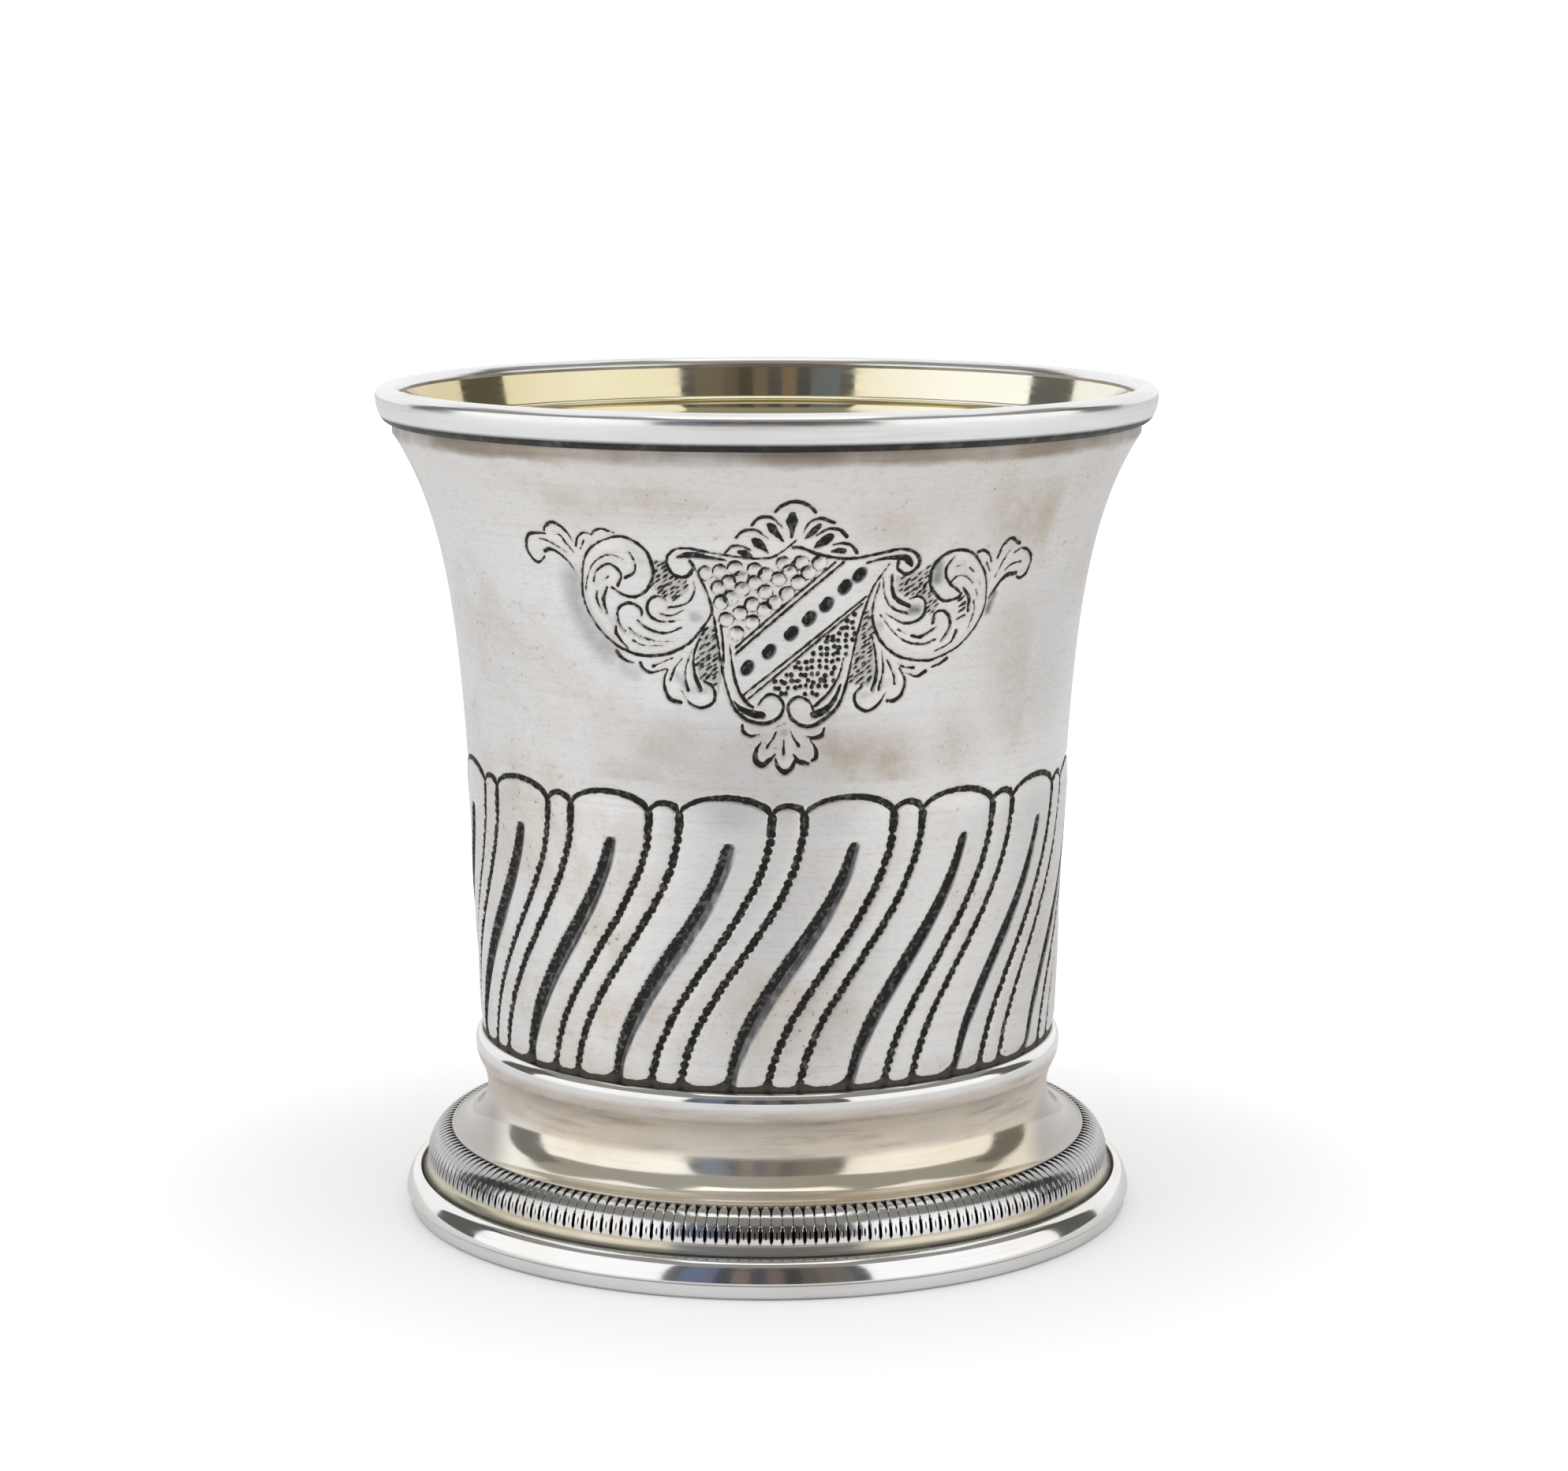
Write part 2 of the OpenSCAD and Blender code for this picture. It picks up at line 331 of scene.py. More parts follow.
def lay_stroke(field, points, widths, curved=True):
    """Lowers a field of distances to the edge of the cuts by one stroke."""
    path = spline(points) if curved else np.array(points, float)
    half = along(widths, len(path)) / 2
    for p, q, hp, hq in zip(path[:-1], path[1:], half[:-1], half[1:]):
        margin = FIELD_REACH + max(hp, hq)
        j0, j1 = np.searchsorted(PATCH_S, [min(p[0], q[0]) - margin, max(p[0], q[0]) + margin])
        i0, i1 = np.searchsorted(PATCH_Z, [min(p[1], q[1]) - margin, max(p[1], q[1]) + margin])
        ds = PATCH_S[None, j0:j1] - p[0]
        dz = PATCH_Z[i0:i1, None] - p[1]
        d = q - p
        t = np.clip((ds * d[0] + dz * d[1]) / max(d @ d, 1e-9), 0, 1)
        edge = np.hypot(ds - t * d[0], dz - t * d[1]) - (hp + (hq - hp) * t)
        block = field[i0:i1, j0:j1]
        np.minimum(block, edge, out=block)


def inside(polygon, s, z):
    """Which points lie inside a polygon."""
    hit = np.zeros(np.shape(s), bool)
    for (s0, z0), (s1, z1) in zip(polygon, polygon[1:] + polygon[:1]):
        if z0 != z1:
            hit ^= ((z0 > z) != (z1 > z)) & (s < (s1 - s0) * (z - z0) / (z1 - z0) + s0)
    return hit


# Left tail leaf and the leaves on the left scroll: widths along the stroke, then its points
LEFT_LEAVES = [
    ((.2, .3, .35, .3, .25), [(-24.2, 82.5), (-25.6, 82.5), (-26.8, 82.1), (-27.4, 80.7), (-26.9, 79.6),
     (-26, 79.2), (-25, 79.9)]),
    ((.4, .35, .2, .12), [(-24.8, 80.5), (-24, 80.8), (-22.9, 80.4), (-21.8, 79.5), (-21, 78.1)]),
    ((.1, .16, .12), [(-25.3, 81.9), (-24.3, 81.8), (-23.2, 81.4), (-21.9, 80.6)]),
    ((.2, .35, .3, .15), [(-24.3, 82.8), (-24.1, 83.3), (-23, 83.9), (-22, 83.5), (-21.4, 82.9),
     (-20.8, 81.9)]),
    ((.15, .2, .1), [(-22.9, 82.6), (-22.2, 82.4), (-21.6, 81.6), (-20.9, 80.6)]),
    ((.2, .25, .2), [(-18.7, 82.9), (-19.4, 82.9), (-20.2, 82.3), (-20.5, 81.4)]),
    ((.1, .15, .1), [(-19.4, 82.1), (-19.7, 81.6), (-20, 81.1)]),
    ((.2, .28, .2), [(-18.4, 82.8), (-17.8, 83.3), (-17, 83.5), (-15.7, 83.1)]),
]
LEFT_SCROLL = [
    ((.25, .3, .38, .3, .2, .25, .22, .3, .35, .25, .2), [(-16.8, 77), (-15.6, 76.3), (-14.2, 76.1),
     (-12.9, 76.8), (-12.1, 78), (-11.9, 79.4), (-12.3, 81), (-13.3, 82.1), (-15, 82.8), (-17, 82.3),
     (-18.7, 81.3), (-19.8, 79.9), (-20.3, 78), (-20.5, 75.8), (-19.9, 73.8), (-18.4, 71.8), (-16.4, 70.4),
     (-14.2, 69.7), (-12.2, 69.7), (-10.2, 70.2), (-8.4, 71.2), (-7.1, 72.6), (-6, 74.1), (-5.7, 75.2)]),
    ((.1, .16, .12), [(-14.9, 80.2), (-16.2, 80.7), (-17.6, 80.3), (-18.8, 79.3), (-19.6, 77.8),
     (-20, 76.4)]),
    ((.12, .22, .3), [(-14.2, 81.1), (-13.7, 80), (-13.9, 78.9), (-15.1, 78.2)]),
    ((.15, .25, .3, .3), [(-18.8, 77.6), (-18.3, 78.8), (-17, 79.6), (-16, 79.2), (-15.6, 78.3),
     (-16.1, 77.2)]),
    ((.15, .18), [(-17.5, 77.9), (-17.1, 78.2)]),
    ((.25, .35, .2), [(-17.4, 77), (-17.9, 75.9), (-17.9, 75), (-17.6, 74.1)]),
    ((.12, .2, .12), [(-18.5, 76.6), (-18.7, 75.7), (-18.1, 74.1)]),
    ((.2, .32, .3, .25, .15), [(-13.6, 74), (-13.6, 74.7), (-14.4, 75.3), (-15.4, 75.3), (-16.4, 74.5),
     (-16.3, 73.1), (-15.5, 72.2)]),
    ((.3, .35, .15), [(-16.7, 72.7), (-16.6, 71.9), (-16.1, 71.1), (-15.4, 70.4)]),
    ((.2, .28, .15), [(-14.1, 73.5), (-13.4, 72.9), (-12.2, 72.4), (-10.7, 72.3), (-9, 73)]),
    ((.12, .18, .1), [(-15.2, 72.7), (-14.3, 72), (-12.4, 71.4), (-10.1, 71.4)]),
    ((.18, .12, .08), [(-14.7, 71.3), (-13.4, 70.8), (-11.2, 70.9)]),
    ((.15, .3, .32, .25, .12), [(-10.5, 75.8), (-11.5, 76.3), (-12.5, 75.9), (-12.9, 74.8), (-12.4, 73.9),
     (-11.2, 73.5), (-9.2, 73.7)]),
    ((.12, .18, .1), [(-11.5, 74.4), (-10.2, 74.2), (-8.8, 74.9)]),
    ((.28, .2, .18, .12), [(-10.5, 75.1), (-9.2, 75.3), (-8.1, 75.9), (-7.5, 77), (-7.5, 78)]),
]
LEFT_PENDANT = [
    ((.4, .38, .12), [(-16.9, 69.9), (-16.5, 69.4), (-15.9, 69), (-14.8, 68.7)]),
    ((.3, .32, .12), [(-14.1, 68.8), (-13.8, 68.2), (-12.8, 67.8), (-11.1, 68.3)]),
    ((.28, .18, .1), [(-12.6, 68.5), (-11.7, 68.9), (-10.3, 69.5)]),
    ((.15, .25, .42, .38), [(-10.9, 68.2), (-11.4, 67), (-11.2, 65.6), (-10.6, 64.9), (-9.5, 64.6)]),
    ((.1, .2, .3), [(-9.2, 69.5), (-10.1, 68.4), (-10.6, 67.1)]),
    ((.1, .2, .26), [(-8.1, 70.4), (-8.8, 68.6), (-8.9, 67.1), (-8.6, 66)]),
    ((.18, .28, .4), [(-7.2, 71.8), (-7.9, 69.8), (-7.9, 68), (-7.2, 66.1)]),
    ((.12, .32, .32, .22), [(-9.4, 66), (-8.5, 64.6), (-7.1, 64.1), (-5.9, 64.7), (-5.6, 65.6), (-6, 66.6),
     (-6.9, 67.1)]),
]
SHIELD_FRAME = [
    ((.22, .35, .38, .3), [(-10.1, 80.9), (-10.3, 80), (-9.8, 78.9), (-9, 78.5), (-8.1, 78.7),
     (-7.5, 79.6), (-7.8, 80.3)]),
    ((.25, .22, .2, .2, .12), [(-10.1, 80.9), (-9.2, 81.6), (-7.8, 81.7), (-5.6, 81.3), (-3, 80.9),
     (-.8, 80.7), (.8, 80.9), (2.1, 81.8), (3.1, 82.7)]),
    ((.25, .6, .5, .35, .12), [(-9.1, 80.7), (-7.7, 81), (-6, 80.8), (-4, 80.5)]),
    ((.2, .22, .22, .3, .36, .32, .3, .22), [(-7.4, 79.8), (-6.2, 76.9), (-5.6, 74.5), (-5.2, 71.6),
     (-4.9, 69), (-4.3, 66.3), (-3.5, 64.2), (-2.1, 62.9), (-.1, 62.5), (1.5, 63.2), (2, 64.5),
     (1.1, 65.6), (.1, 65.6), (-.8, 64.6)]),
    ((.2, .3, .15), [(-4.8, 73.3), (-4.6, 71), (-4.6, 68.6)]),
    ((.12, .28, .36, .28), [(-3.9, 71.2), (-3.6, 68.5), (-3, 66.1), (-2, 64.7), (-1.4, 64.3)]),
    ((.2, .45, .62, .76, .7), [(-3.5, 64.9), (-2.9, 64.2), (-2.1, 63.8), (-1.2, 63.5), (-.4, 63.4)]),
    ((.3, .3, .28, .35, .35, .3), [(2.8, 81.9), (3.5, 81.9), (5.2, 81.2), (7.2, 80.7), (9.4, 80.6),
     (12.2, 81.1), (14.2, 81.4), (15.7, 81), (16.5, 79.9), (15.9, 78.9), (15, 78.6), (14.1, 79.2),
     (14, 80)]),
    ((.2, .28, .42, .6, .8, .3), [(10.5, 80), (12.2, 80.4), (13.4, 80.5), (14.5, 80.5), (15.2, 80.1),
     (15.6, 79.5)]),
    ((.12, .28, .22, .3, .4, .36, .3, .22), [(13.1, 79.9), (11.6, 77.5), (10.8, 75.2), (10.1, 72.6),
     (9.5, 69.3), (9, 66.8), (8.2, 64.5), (6.6, 62.9), (4.6, 62.1), (2.9, 63), (2.5, 64.5), (3.5, 65.4),
     (4.8, 64.9), (5.3, 64)]),
    ((.1, .22, .32, .3), [(8.6, 69.6), (8.1, 67.6), (7.1, 65.9), (5.5, 64.4)]),
    ((.2, .45, .62, .76, .7), [(8.3, 66.6), (7.7, 65.1), (6.9, 64.1), (6.1, 63.6), (5.3, 63.4)]),
]
SHIELD_BEND = [
    ((.28, .22, .2), [(-3.2, 70.9), (7.2, 80.2)]),
    ((.3, .22, .25), [(-3.2, 70.2), (8.1, 80.2)]),
    ((.2, .24, .2), [(-2.5, 65.6), (4.4, 71.1), (10.8, 76.3)]),
    ((.2, .22, .18), [(-1.9, 65.2), (4.4, 70.5), (10.4, 75.5)]),
]
CREST = [
    ((.25, .35, .35, .3), [(.9, 85.8), (1.7, 86.6), (2.9, 87), (4.1, 86.6), (4.9, 85.8)]),
    ((.3, .32, .15), [(-1.3, 84.4), (-.6, 85.2), (.4, 85.3), (1.1, 84.8), (1.7, 84.1)]),
    ((.3, .28, .12), [(-2.9, 83), (-2.3, 83.7), (-1.2, 83.9), (-.4, 83.5), (.3, 82.9)]),
    ((.25, .28, .1), [(-4.1, 81.3), (-3.4, 82), (-2.5, 82.1), (-1.4, 81.6)]),
    ((.12, .28, .38), [(3.8, 83.5), (4.3, 84.6), (5.4, 85.1), (6.8, 84.6)]),
    ((.12, .3, .38), [(5.1, 83.2), (6.2, 83.9), (7.4, 83.8), (8.2, 83)]),
    ((.12, .3, .38), [(6.8, 82.1), (7.8, 82.3), (8.8, 82), (9.4, 81.2)]),
    ((.6, 1.1, .75, .4, .18), [(2.65, 85.5), (2.6, 83)]),
    ((.5, .82, .6, .4, .18), [(.4, 84.4), (1, 83.6), (1.8, 82.6)]),
    ((.6, .95, .75, .4, .18), [(-1.1, 82.7), (-.4, 82.1), (.3, 81.3)]),
    ((.35, .6, .3), [(-2.7, 81.4), (-2.1, 81.3), (-1.5, 81)]),
    ((.45, .6, .5, .2), [(5.4, 84.3), (4.7, 83.6), (4, 82.9)]),
    ((.75, .95, .7, .25), [(6.5, 83), (5.8, 82.5), (5, 81.9)]),
    ((.25, .55, .55), [(6.8, 81.4), (7.4, 81.5), (8, 81.4)]),
]
PALMETTE = [
    ((.25, .42, .3, .1), [(-2.6, 62.3), (-2.5, 61.6), (-1.7, 61.1), (-.7, 61.3)]),
    ((.2, .42, .35, .12), [(6.6, 61.9), (6.3, 61.1), (5.4, 60.8), (4.6, 61)]),
    ((.1, .18, .26), [(1.2, 61.6), (.8, 60.8), (.1, 59.8)]),
    ((.12, .28), [(2, 60.7), (2, 59.1)]),
    ((.12, .2, .3), [(2.8, 61.6), (3.1, 60.9), (3.7, 60)]),
    ((.12, .4, .62, .6, .5, .12), [(-.5, 60.4), (-1.1, 59.4), (-1.1, 58.3), (-.3, 57.9), (.4, 58.4),
     (1.1, 59.1)]),
    ((.2, .5, .62, .5, .15), [(1.1, 58.5), (1.4, 57.6), (2.1, 57.1), (2.9, 57.5), (3.3, 58.5)]),
    ((.12, .42, .5, .35), [(3.1, 59.1), (3.7, 58.3), (4.8, 58)]),
    ((.12, .38, .4, .2), [(5, 60.6), (5.6, 59.7), (5.7, 58.7), (5.2, 58.3)]),
]
RIGHT_SCROLL = [
    ((.2, .35, .45, .4), [(13.5, 78.6), (13.6, 77.3), (14.2, 75.9), (15.8, 75)]),
    ((.12, .2, .3), [(12.5, 78.3), (12.9, 76.2), (14, 74.8), (15.6, 74.2)]),
    ((.2, .3, .35, .28, .15), [(15.8, 75.8), (16.8, 76), (17.7, 75.4), (17.7, 74), (16.6, 73.2),
     (15.1, 73.2), (13.1, 74.3)]),
    ((.15, .3, .3, .25, .28, .3, .3, .36, .36, .3), [(12.2, 77.8), (11.6, 75.2), (11.8, 73.1),
     (12.7, 71.3), (14.2, 69.9), (16.1, 69.1), (18.4, 68.8), (20, 69.1), (22.5, 70.1), (24.5, 71.9),
     (25.6, 74), (25.7, 75.6), (25.3, 77.6), (24.2, 79.2), (22.8, 80.5), (20.8, 80.9), (19.1, 80.3),
     (18.1, 79), (18.1, 77.3), (18.9, 76.1), (20.2, 75.3), (21.8, 75.5), (22.3, 76)]),
    ((.12, .3, .3), [(20.6, 80.3), (19.7, 79.1), (19.8, 78), (20.7, 77.1), (22, 76.2)]),
    ((.3, .2, .15), [(20.6, 77.3), (21.3, 77.9), (22.4, 77.9), (23.5, 77.1)]),
    ((.25, .38, .2), [(22.4, 76.6), (23.3, 75.5), (23.4, 73.9)]),
    ((.1, .12), [(20.8, 79.1), (21.7, 79.2)]),
    ((.1, .14), [(22.6, 78.9), (23.4, 78.3)]),
    ((.1, .12), [(24.1, 77.4), (24.5, 76.8)]),
    ((.1, .16), [(24, 76.3), (24.3, 75.6)]),
    ((.1, .14, .1), [(23.9, 75.1), (24.1, 74), (23.5, 72.1)]),
    ((.2, .3), [(21.9, 75.1), (22.7, 75.6)]),
    ((.25, .35), [(22.2, 74.5), (22.9, 74.9)]),
    ((.25, .35), [(22.2, 73.9), (22.9, 74.3)]),
    ((.12, .25), [(22, 73.1), (23, 73.5)]),
    ((.35, .3, .2), [(23.6, 80.5), (24.5, 80.6), (25.4, 80), (25.8, 79.2)]),
    ((.2, .16), [(25.1, 79.2), (25.8, 78.2)]),
    ((.35, .26, .35, .3, .15), [(18.9, 72.9), (19.1, 74), (20.1, 74.2), (21, 73.4), (21.1, 72.2),
     (20, 70.8)]),
    ((.26, .18, .1), [(22, 71.9), (21.2, 70.6), (19.2, 69.8)]),
    ((.12, .18, .22, .15), [(12.5, 74.2), (13.9, 72.4), (15.6, 71.1), (17.8, 70.7), (19.4, 71.1)]),
    ((.12, .14), [(14.6, 72.5), (15.5, 72)]),
    ((.22, .35, .2), [(16.3, 71.7), (17.5, 71.5), (19.4, 72.4)]),
]
RIGHT_PENDANT = [
    ((.15, .25, .38, .3), [(11.7, 72), (12.3, 69.4), (12.4, 67.3), (11.9, 65.9)]),
    ((.12, .2, .25), [(12.9, 70.2), (13.2, 68), (12.7, 65.9)]),
    ((.15, .22, .3), [(13.6, 69.2), (14.4, 67.6), (14.6, 66.5)]),
    ((.15, .32, .42, .35), [(15.1, 68.2), (15.9, 66.8), (15.6, 65.3), (14.7, 64.6), (13.9, 64.6)]),
    ((.12, .28, .32, .3, .2), [(13.6, 65.5), (12.7, 64.2), (11.4, 63.6), (10.2, 64.3), (10, 65.5),
     (10.8, 66.4)]),
    ((.15, .28), [(15, 68.6), (15.9, 68.2), (16.9, 68.1)]),
    ((.15, .28, .4), [(16, 67.6), (17.3, 67.1), (18.5, 67.6)]),
    ((.15, .3, .38), [(19.2, 68), (20.3, 68.3), (21.1, 68.8)]),
]
RIGHT_LEAVES = [
    ((.25, .36, .38), [(26.6, 79.6), (27.1, 81), (28.1, 81.7), (29.5, 81)]),
    ((.16, .12), [(28.3, 80.3), (27.3, 79), (26.7, 77.5)]),
    ((.18, .3, .4, .38, .3), [(29, 80), (30.2, 80.4), (31.4, 80), (32.2, 78.9), (31.8, 77.5), (30.9, 77),
     (30.2, 77.2)]),
    ((.12, .2, .26), [(27.9, 78.1), (28.8, 78.7), (30.2, 78.9)]),
    ((.15, .32, .5, .42), [(26.2, 75.1), (27.3, 76.5), (28.5, 77.5), (30, 77.6)]),
]
STROKES = (LEFT_LEAVES + LEFT_SCROLL + LEFT_PENDANT + SHIELD_FRAME + SHIELD_BEND + CREST + PALMETTE
           + RIGHT_SCROLL + RIGHT_PENDANT + RIGHT_LEAVES)

# Scales of the upper field, and the pellets on the bend
SCALE_R = 0.78
SCALES = [(1.9, 80.1), (3.7, 80.2), (5.6, 80.1), (-3.1, 79.6), (-1.1, 79.4), (.1, 78.9), (2.5, 79.2),
          (4.5, 79.1), (-2.5, 78.5), (-1.1, 78), (1.4, 78.4), (3.4, 78), (-3.8, 78), (-4.9, 77.4),
          (-2.4, 77.3), (0, 77), (2.3, 76.8), (-3.6, 76.3), (-1.4, 75.6), (1, 75.8), (-.1, 75),
          (-2.7, 74.6), (-4.2, 73.9), (-1.4, 73.6), (-3.1, 72.4), (-4.7, 79.2), (-4.7, 75.8), (-6.2, 79)]
PELLET_W = 1.32
PELLETS = [(-2, 68.6), (.4, 70.4), (2.8, 72.4), (4.7, 74), (6.5, 75.5), (8.4, 77.4), (9.9, 78.7)]

# Fields that are filled with dots, hatching or grey matting, as outlines
DOTTED = [(-1, 65.4), (10, 74.8), (9.6, 71.5), (8.3, 69), (7.8, 67.4), (6.9, 66), (5.8, 65.1), (4.6, 65.6),
          (3.3, 65.9), (2.2, 65.4), (1.2, 66.1), (-.1, 66.2)]
HATCHED = [
    [(-7.2, 72.6), (-5.6, 73.4), (-5.1, 70), (-4.9, 67.3), (-5.3, 65.2), (-5.5, 66.5), (-6.5, 67.2),
     (-7.4, 67.2), (-7.7, 69)],
    [(10.4, 74.8), (11.4, 74.8), (11.7, 72), (12.2, 69), (12.2, 67.2), (11.6, 66.3), (10.6, 66.5),
     (9.4, 66.8), (9.8, 69.3), (10.2, 72)],
    [(-12, 80.3), (-10.7, 80.3), (-9.9, 78.6), (-8.3, 78.4), (-8.1, 77), (-9.6, 75.8), (-11.6, 76.6),
     (-12.1, 77.6)],
    [(13.9, 78.4), (15.2, 78.3), (16.5, 78.8), (17.6, 79.2), (17.8, 77.2), (18.6, 75.9), (19.6, 75),
     (18.4, 73.7), (17.9, 75.6), (16.8, 76.3), (15.4, 76.1), (14.2, 76.6)],
]
# Grey and brown stains: strength, width and centre line
GREY_STAINS = [
    (.4, 2.6, [(-21.7, 77.6), (-21.5, 75), (-20.2, 72.2), (-18, 70)]),
    (.25, 1.6, [(-16.2, 68.2), (-14.8, 67.6)]),
    (.85, .8, [(26.9, 75.6), (26.3, 73.8)]),
    (.7, 1.1, [(18.7, 79.4), (18.8, 77.8)]),
    (.85, 1, [(16.2, 74.5), (16.8, 74.6)]),
]
BROWN_STAINS = [
    (.85, 6, [(8.5, 58.5), (12, 58), (14.5, 57.5)]),
    (.9, 7, [(28, 85), (34, 83.5)]),
    (.4, 6, [(-25, 68), (-22, 65), (-18, 63)]),
    (.5, 4.5, [(-14, 60), (-10.5, 60)]),
    (.35, 4, [(-21, 86), (-10, 86.5)]),
    (.35, 4, [(11, 84), (15, 83)]),
    (.4, 4, [(-18, 56), (-14, 56)]),
    (.3, 5, [(23, 60), (25, 57)]),
    (.45, 7, [(31, 70), (33, 62)]),
]

# Raised bodies of the scrolls: height, width and centre line
SWELLS = [
    (.32, 3.4, [(-13.6, 79.4), (-15, 81), (-17.4, 80.6), (-19, 78), (-19, 75), (-16.8, 72), (-13.6, 70.8),
     (-10.4, 71.6), (-8, 73.4)]),
    (.32, 3.4, [(19.8, 78.2), (21.2, 79.6), (23.4, 78.6), (24.6, 76), (24.4, 73.4), (22, 70.9),
     (18.8, 69.8), (15.6, 70.4), (13, 72.4)]),
    (.15, 2.4, [(-22, 81.6), (-24.4, 81.4), (-26, 80.8)]),
    (.15, 2.4, [(27, 78.4), (29, 79.2), (30.8, 78.8)]),
    (.15, 2.2, [(-10.2, 67.2), (-8.6, 65.6), (-7, 65.6)]),
    (.15, 2.2, [(14.8, 66.8), (13, 65.6), (11.4, 65)]),
    (.12, 2, [(2.1, 61), (2.1, 58.6)]),
]


def draw_cartouche():
    """Distance to the edge of the cuts, height in mm, grey and brown, on the grid of the patch."""
    rng = np.random.default_rng(SEED)
    cut = np.full(GRID_S.shape, FIELD_REACH)
    for widths, points in STROKES:
        lay_stroke(cut, points, STROKE_GAIN * np.array(widths) + STROKE_MORE)
    shades = rng.uniform(1.4, 2.8, len(SCALES))
    cut = np.minimum(cut, scale_rings(shades))
    for pellet in PELLETS:
        lay_stroke(cut, PELLET_ENDS + pellet, [PELLET_W - PELLET_LESS] * 2)
    lay_punching(cut, rng)
    return cut, relief(cut), grey_matting_and_shade(shades), soft_lines(BROWN_STAINS)


def scale_rings(shades):
    """Distance to the edge of the scales' rings, thickest on the shaded side and only above the bend."""
    field = np.full(GRID_S.shape, FIELD_REACH)
    turn = np.radians(np.arange(0, 361, 20))
    for (s, z), shade in zip(SCALES, shades):
        ring = np.stack([s + SCALE_R * np.cos(turn), z + SCALE_R * np.sin(turn)], axis=1)
        widths = SCALE_LINE_W + SCALE_SHADE_W * np.clip(np.cos(turn - shade), 0, 1)
        lay_stroke(field, ring, widths, curved=False)
    field[GRID_Z < BEND_Z + BEND_SLOPE * GRID_S] = FIELD_REACH
    return field


def scattered(polygon, columns, rows, rng):
    """Places of a grid, each a little out of line, that lie inside a polygon."""
    for z in rows:
        for s in columns:
            at = np.array([s, z]) + rng.uniform(-OUT_OF_LINE, OUT_OF_LINE, 2)
            if inside(polygon, at[0], at[1]):
                yield at


def lay_punching(cut, rng):
    """Punched dots in the lower field, and short slanting cuts in the hatched fields."""
    for at in scattered(DOTTED, np.arange(-2, 11, DOT_STEP), np.arange(65, 75.5, DOT_STEP), rng):
        lay_stroke(cut, [at, at + rng.uniform(-.12, .12, 2)], DOT_WIDTHS)
    for polygon in HATCHED:
        ss, zs = np.array(polygon).T
        columns = np.arange(ss.min(), ss.max(), HATCH_STEP)
        rows = np.arange(zs.min(), zs.max(), HATCH_ROW)
        for at in scattered(polygon, columns, rows, rng):
            reach = rng.uniform(.22, .42) * HATCH_SLANT
            lay_stroke(cut, [at - reach, at + reach], HATCH_WIDTHS)


def soft_lines(bands, share=1):
    """Soft bands on the grid: each has its full strength on its line and fades over a share of its width."""
    tone = np.zeros(GRID_S.shape)
    for strength, width, line in bands:
        away = np.full(tone.shape, FAR)
        for s, z in spline(line, 5):
            np.minimum(away, np.hypot(GRID_S - s, GRID_Z - z), out=away)
        tone = np.maximum(tone, strength * smooth(share * width, 0, away))
    return tone


def relief(cut):
    """Height of the cartouche: swelling scrolls and scales, with the strokes and pits cut in."""
    height = soft_lines(SWELLS, 0.5)
    for s, z in SCALES:
        d = np.hypot(GRID_S - s, GRID_Z - z)
        height = np.maximum(height, SCALE_RISE * np.clip(1 - (d / SCALE_R) ** 2, 0, 1))
    return height - STROKE_DEPTH * smooth(.06, -.14, cut) - PIT_DEPTH * smooth(-.14, -.5, cut)


def grey_matting_and_shade(shades):
    """Grey stains round the scrolls, shaded scales, painted shade on the sides of the pellet pits, and the
    hatched fields.
    """
    grey = soft_lines(GREY_STAINS)
    for (s, z), shade in zip(SCALES, shades):
        ds, dz = (GRID_S - s) / SCALE_R, (GRID_Z - z) / SCALE_R
        side = ds * math.cos(shade) + dz * math.sin(shade)
        grey = np.maximum(grey, SCALE_GREY * smooth(1, .9, np.hypot(ds, dz)) * smooth(-.1, 1, side))
    # Painted shade over the sides of each pellet pit.
    for s, z in PELLETS:
        ds, dz = GRID_S - s - .05, GRID_Z - z
        d = np.hypot(ds * PELLET_COS - dz * PELLET_SIN, PELLET_SHORT * (ds * PELLET_SIN + dz * PELLET_COS))
        grey = np.maximum(grey, smooth(.56 * PELLET_W, .4 * PELLET_W, d))
    for polygon in HATCHED:
        grey[inside(polygon, GRID_S, GRID_Z)] = HATCH_GREY
    return grey


# The wall

def swing(z):
    """Sideways swing of a flute in degrees: none at the springing, full one flute length below."""
    t = np.clip((SPRING_Z - z) / (SPRING_Z - FLOOR_Z), 0, 1)
    return -FLUTE_SWING * (1 - np.cos(math.pi * t)) / 2


def lean_and_length():
    """Tables of height, lean of the flutes and length along a flute line."""
    z = np.linspace(FLOOR_Z, 56, 400)
    slope = np.radians(np.gradient(swing(z), z)) * wall_r(z)
    length = np.concatenate([[0], np.cumsum(np.hypot(1, slope[:-1]) * np.diff(z))])
    return z, np.arctan(slope), length


LEAN_Z, LEAN, LEAN_LEN = lean_and_length()
BEAD_JITTER = np.random.default_rng(SEED).uniform(-1, 1, (2 * FLUTE_N, BEAD_N, 2))


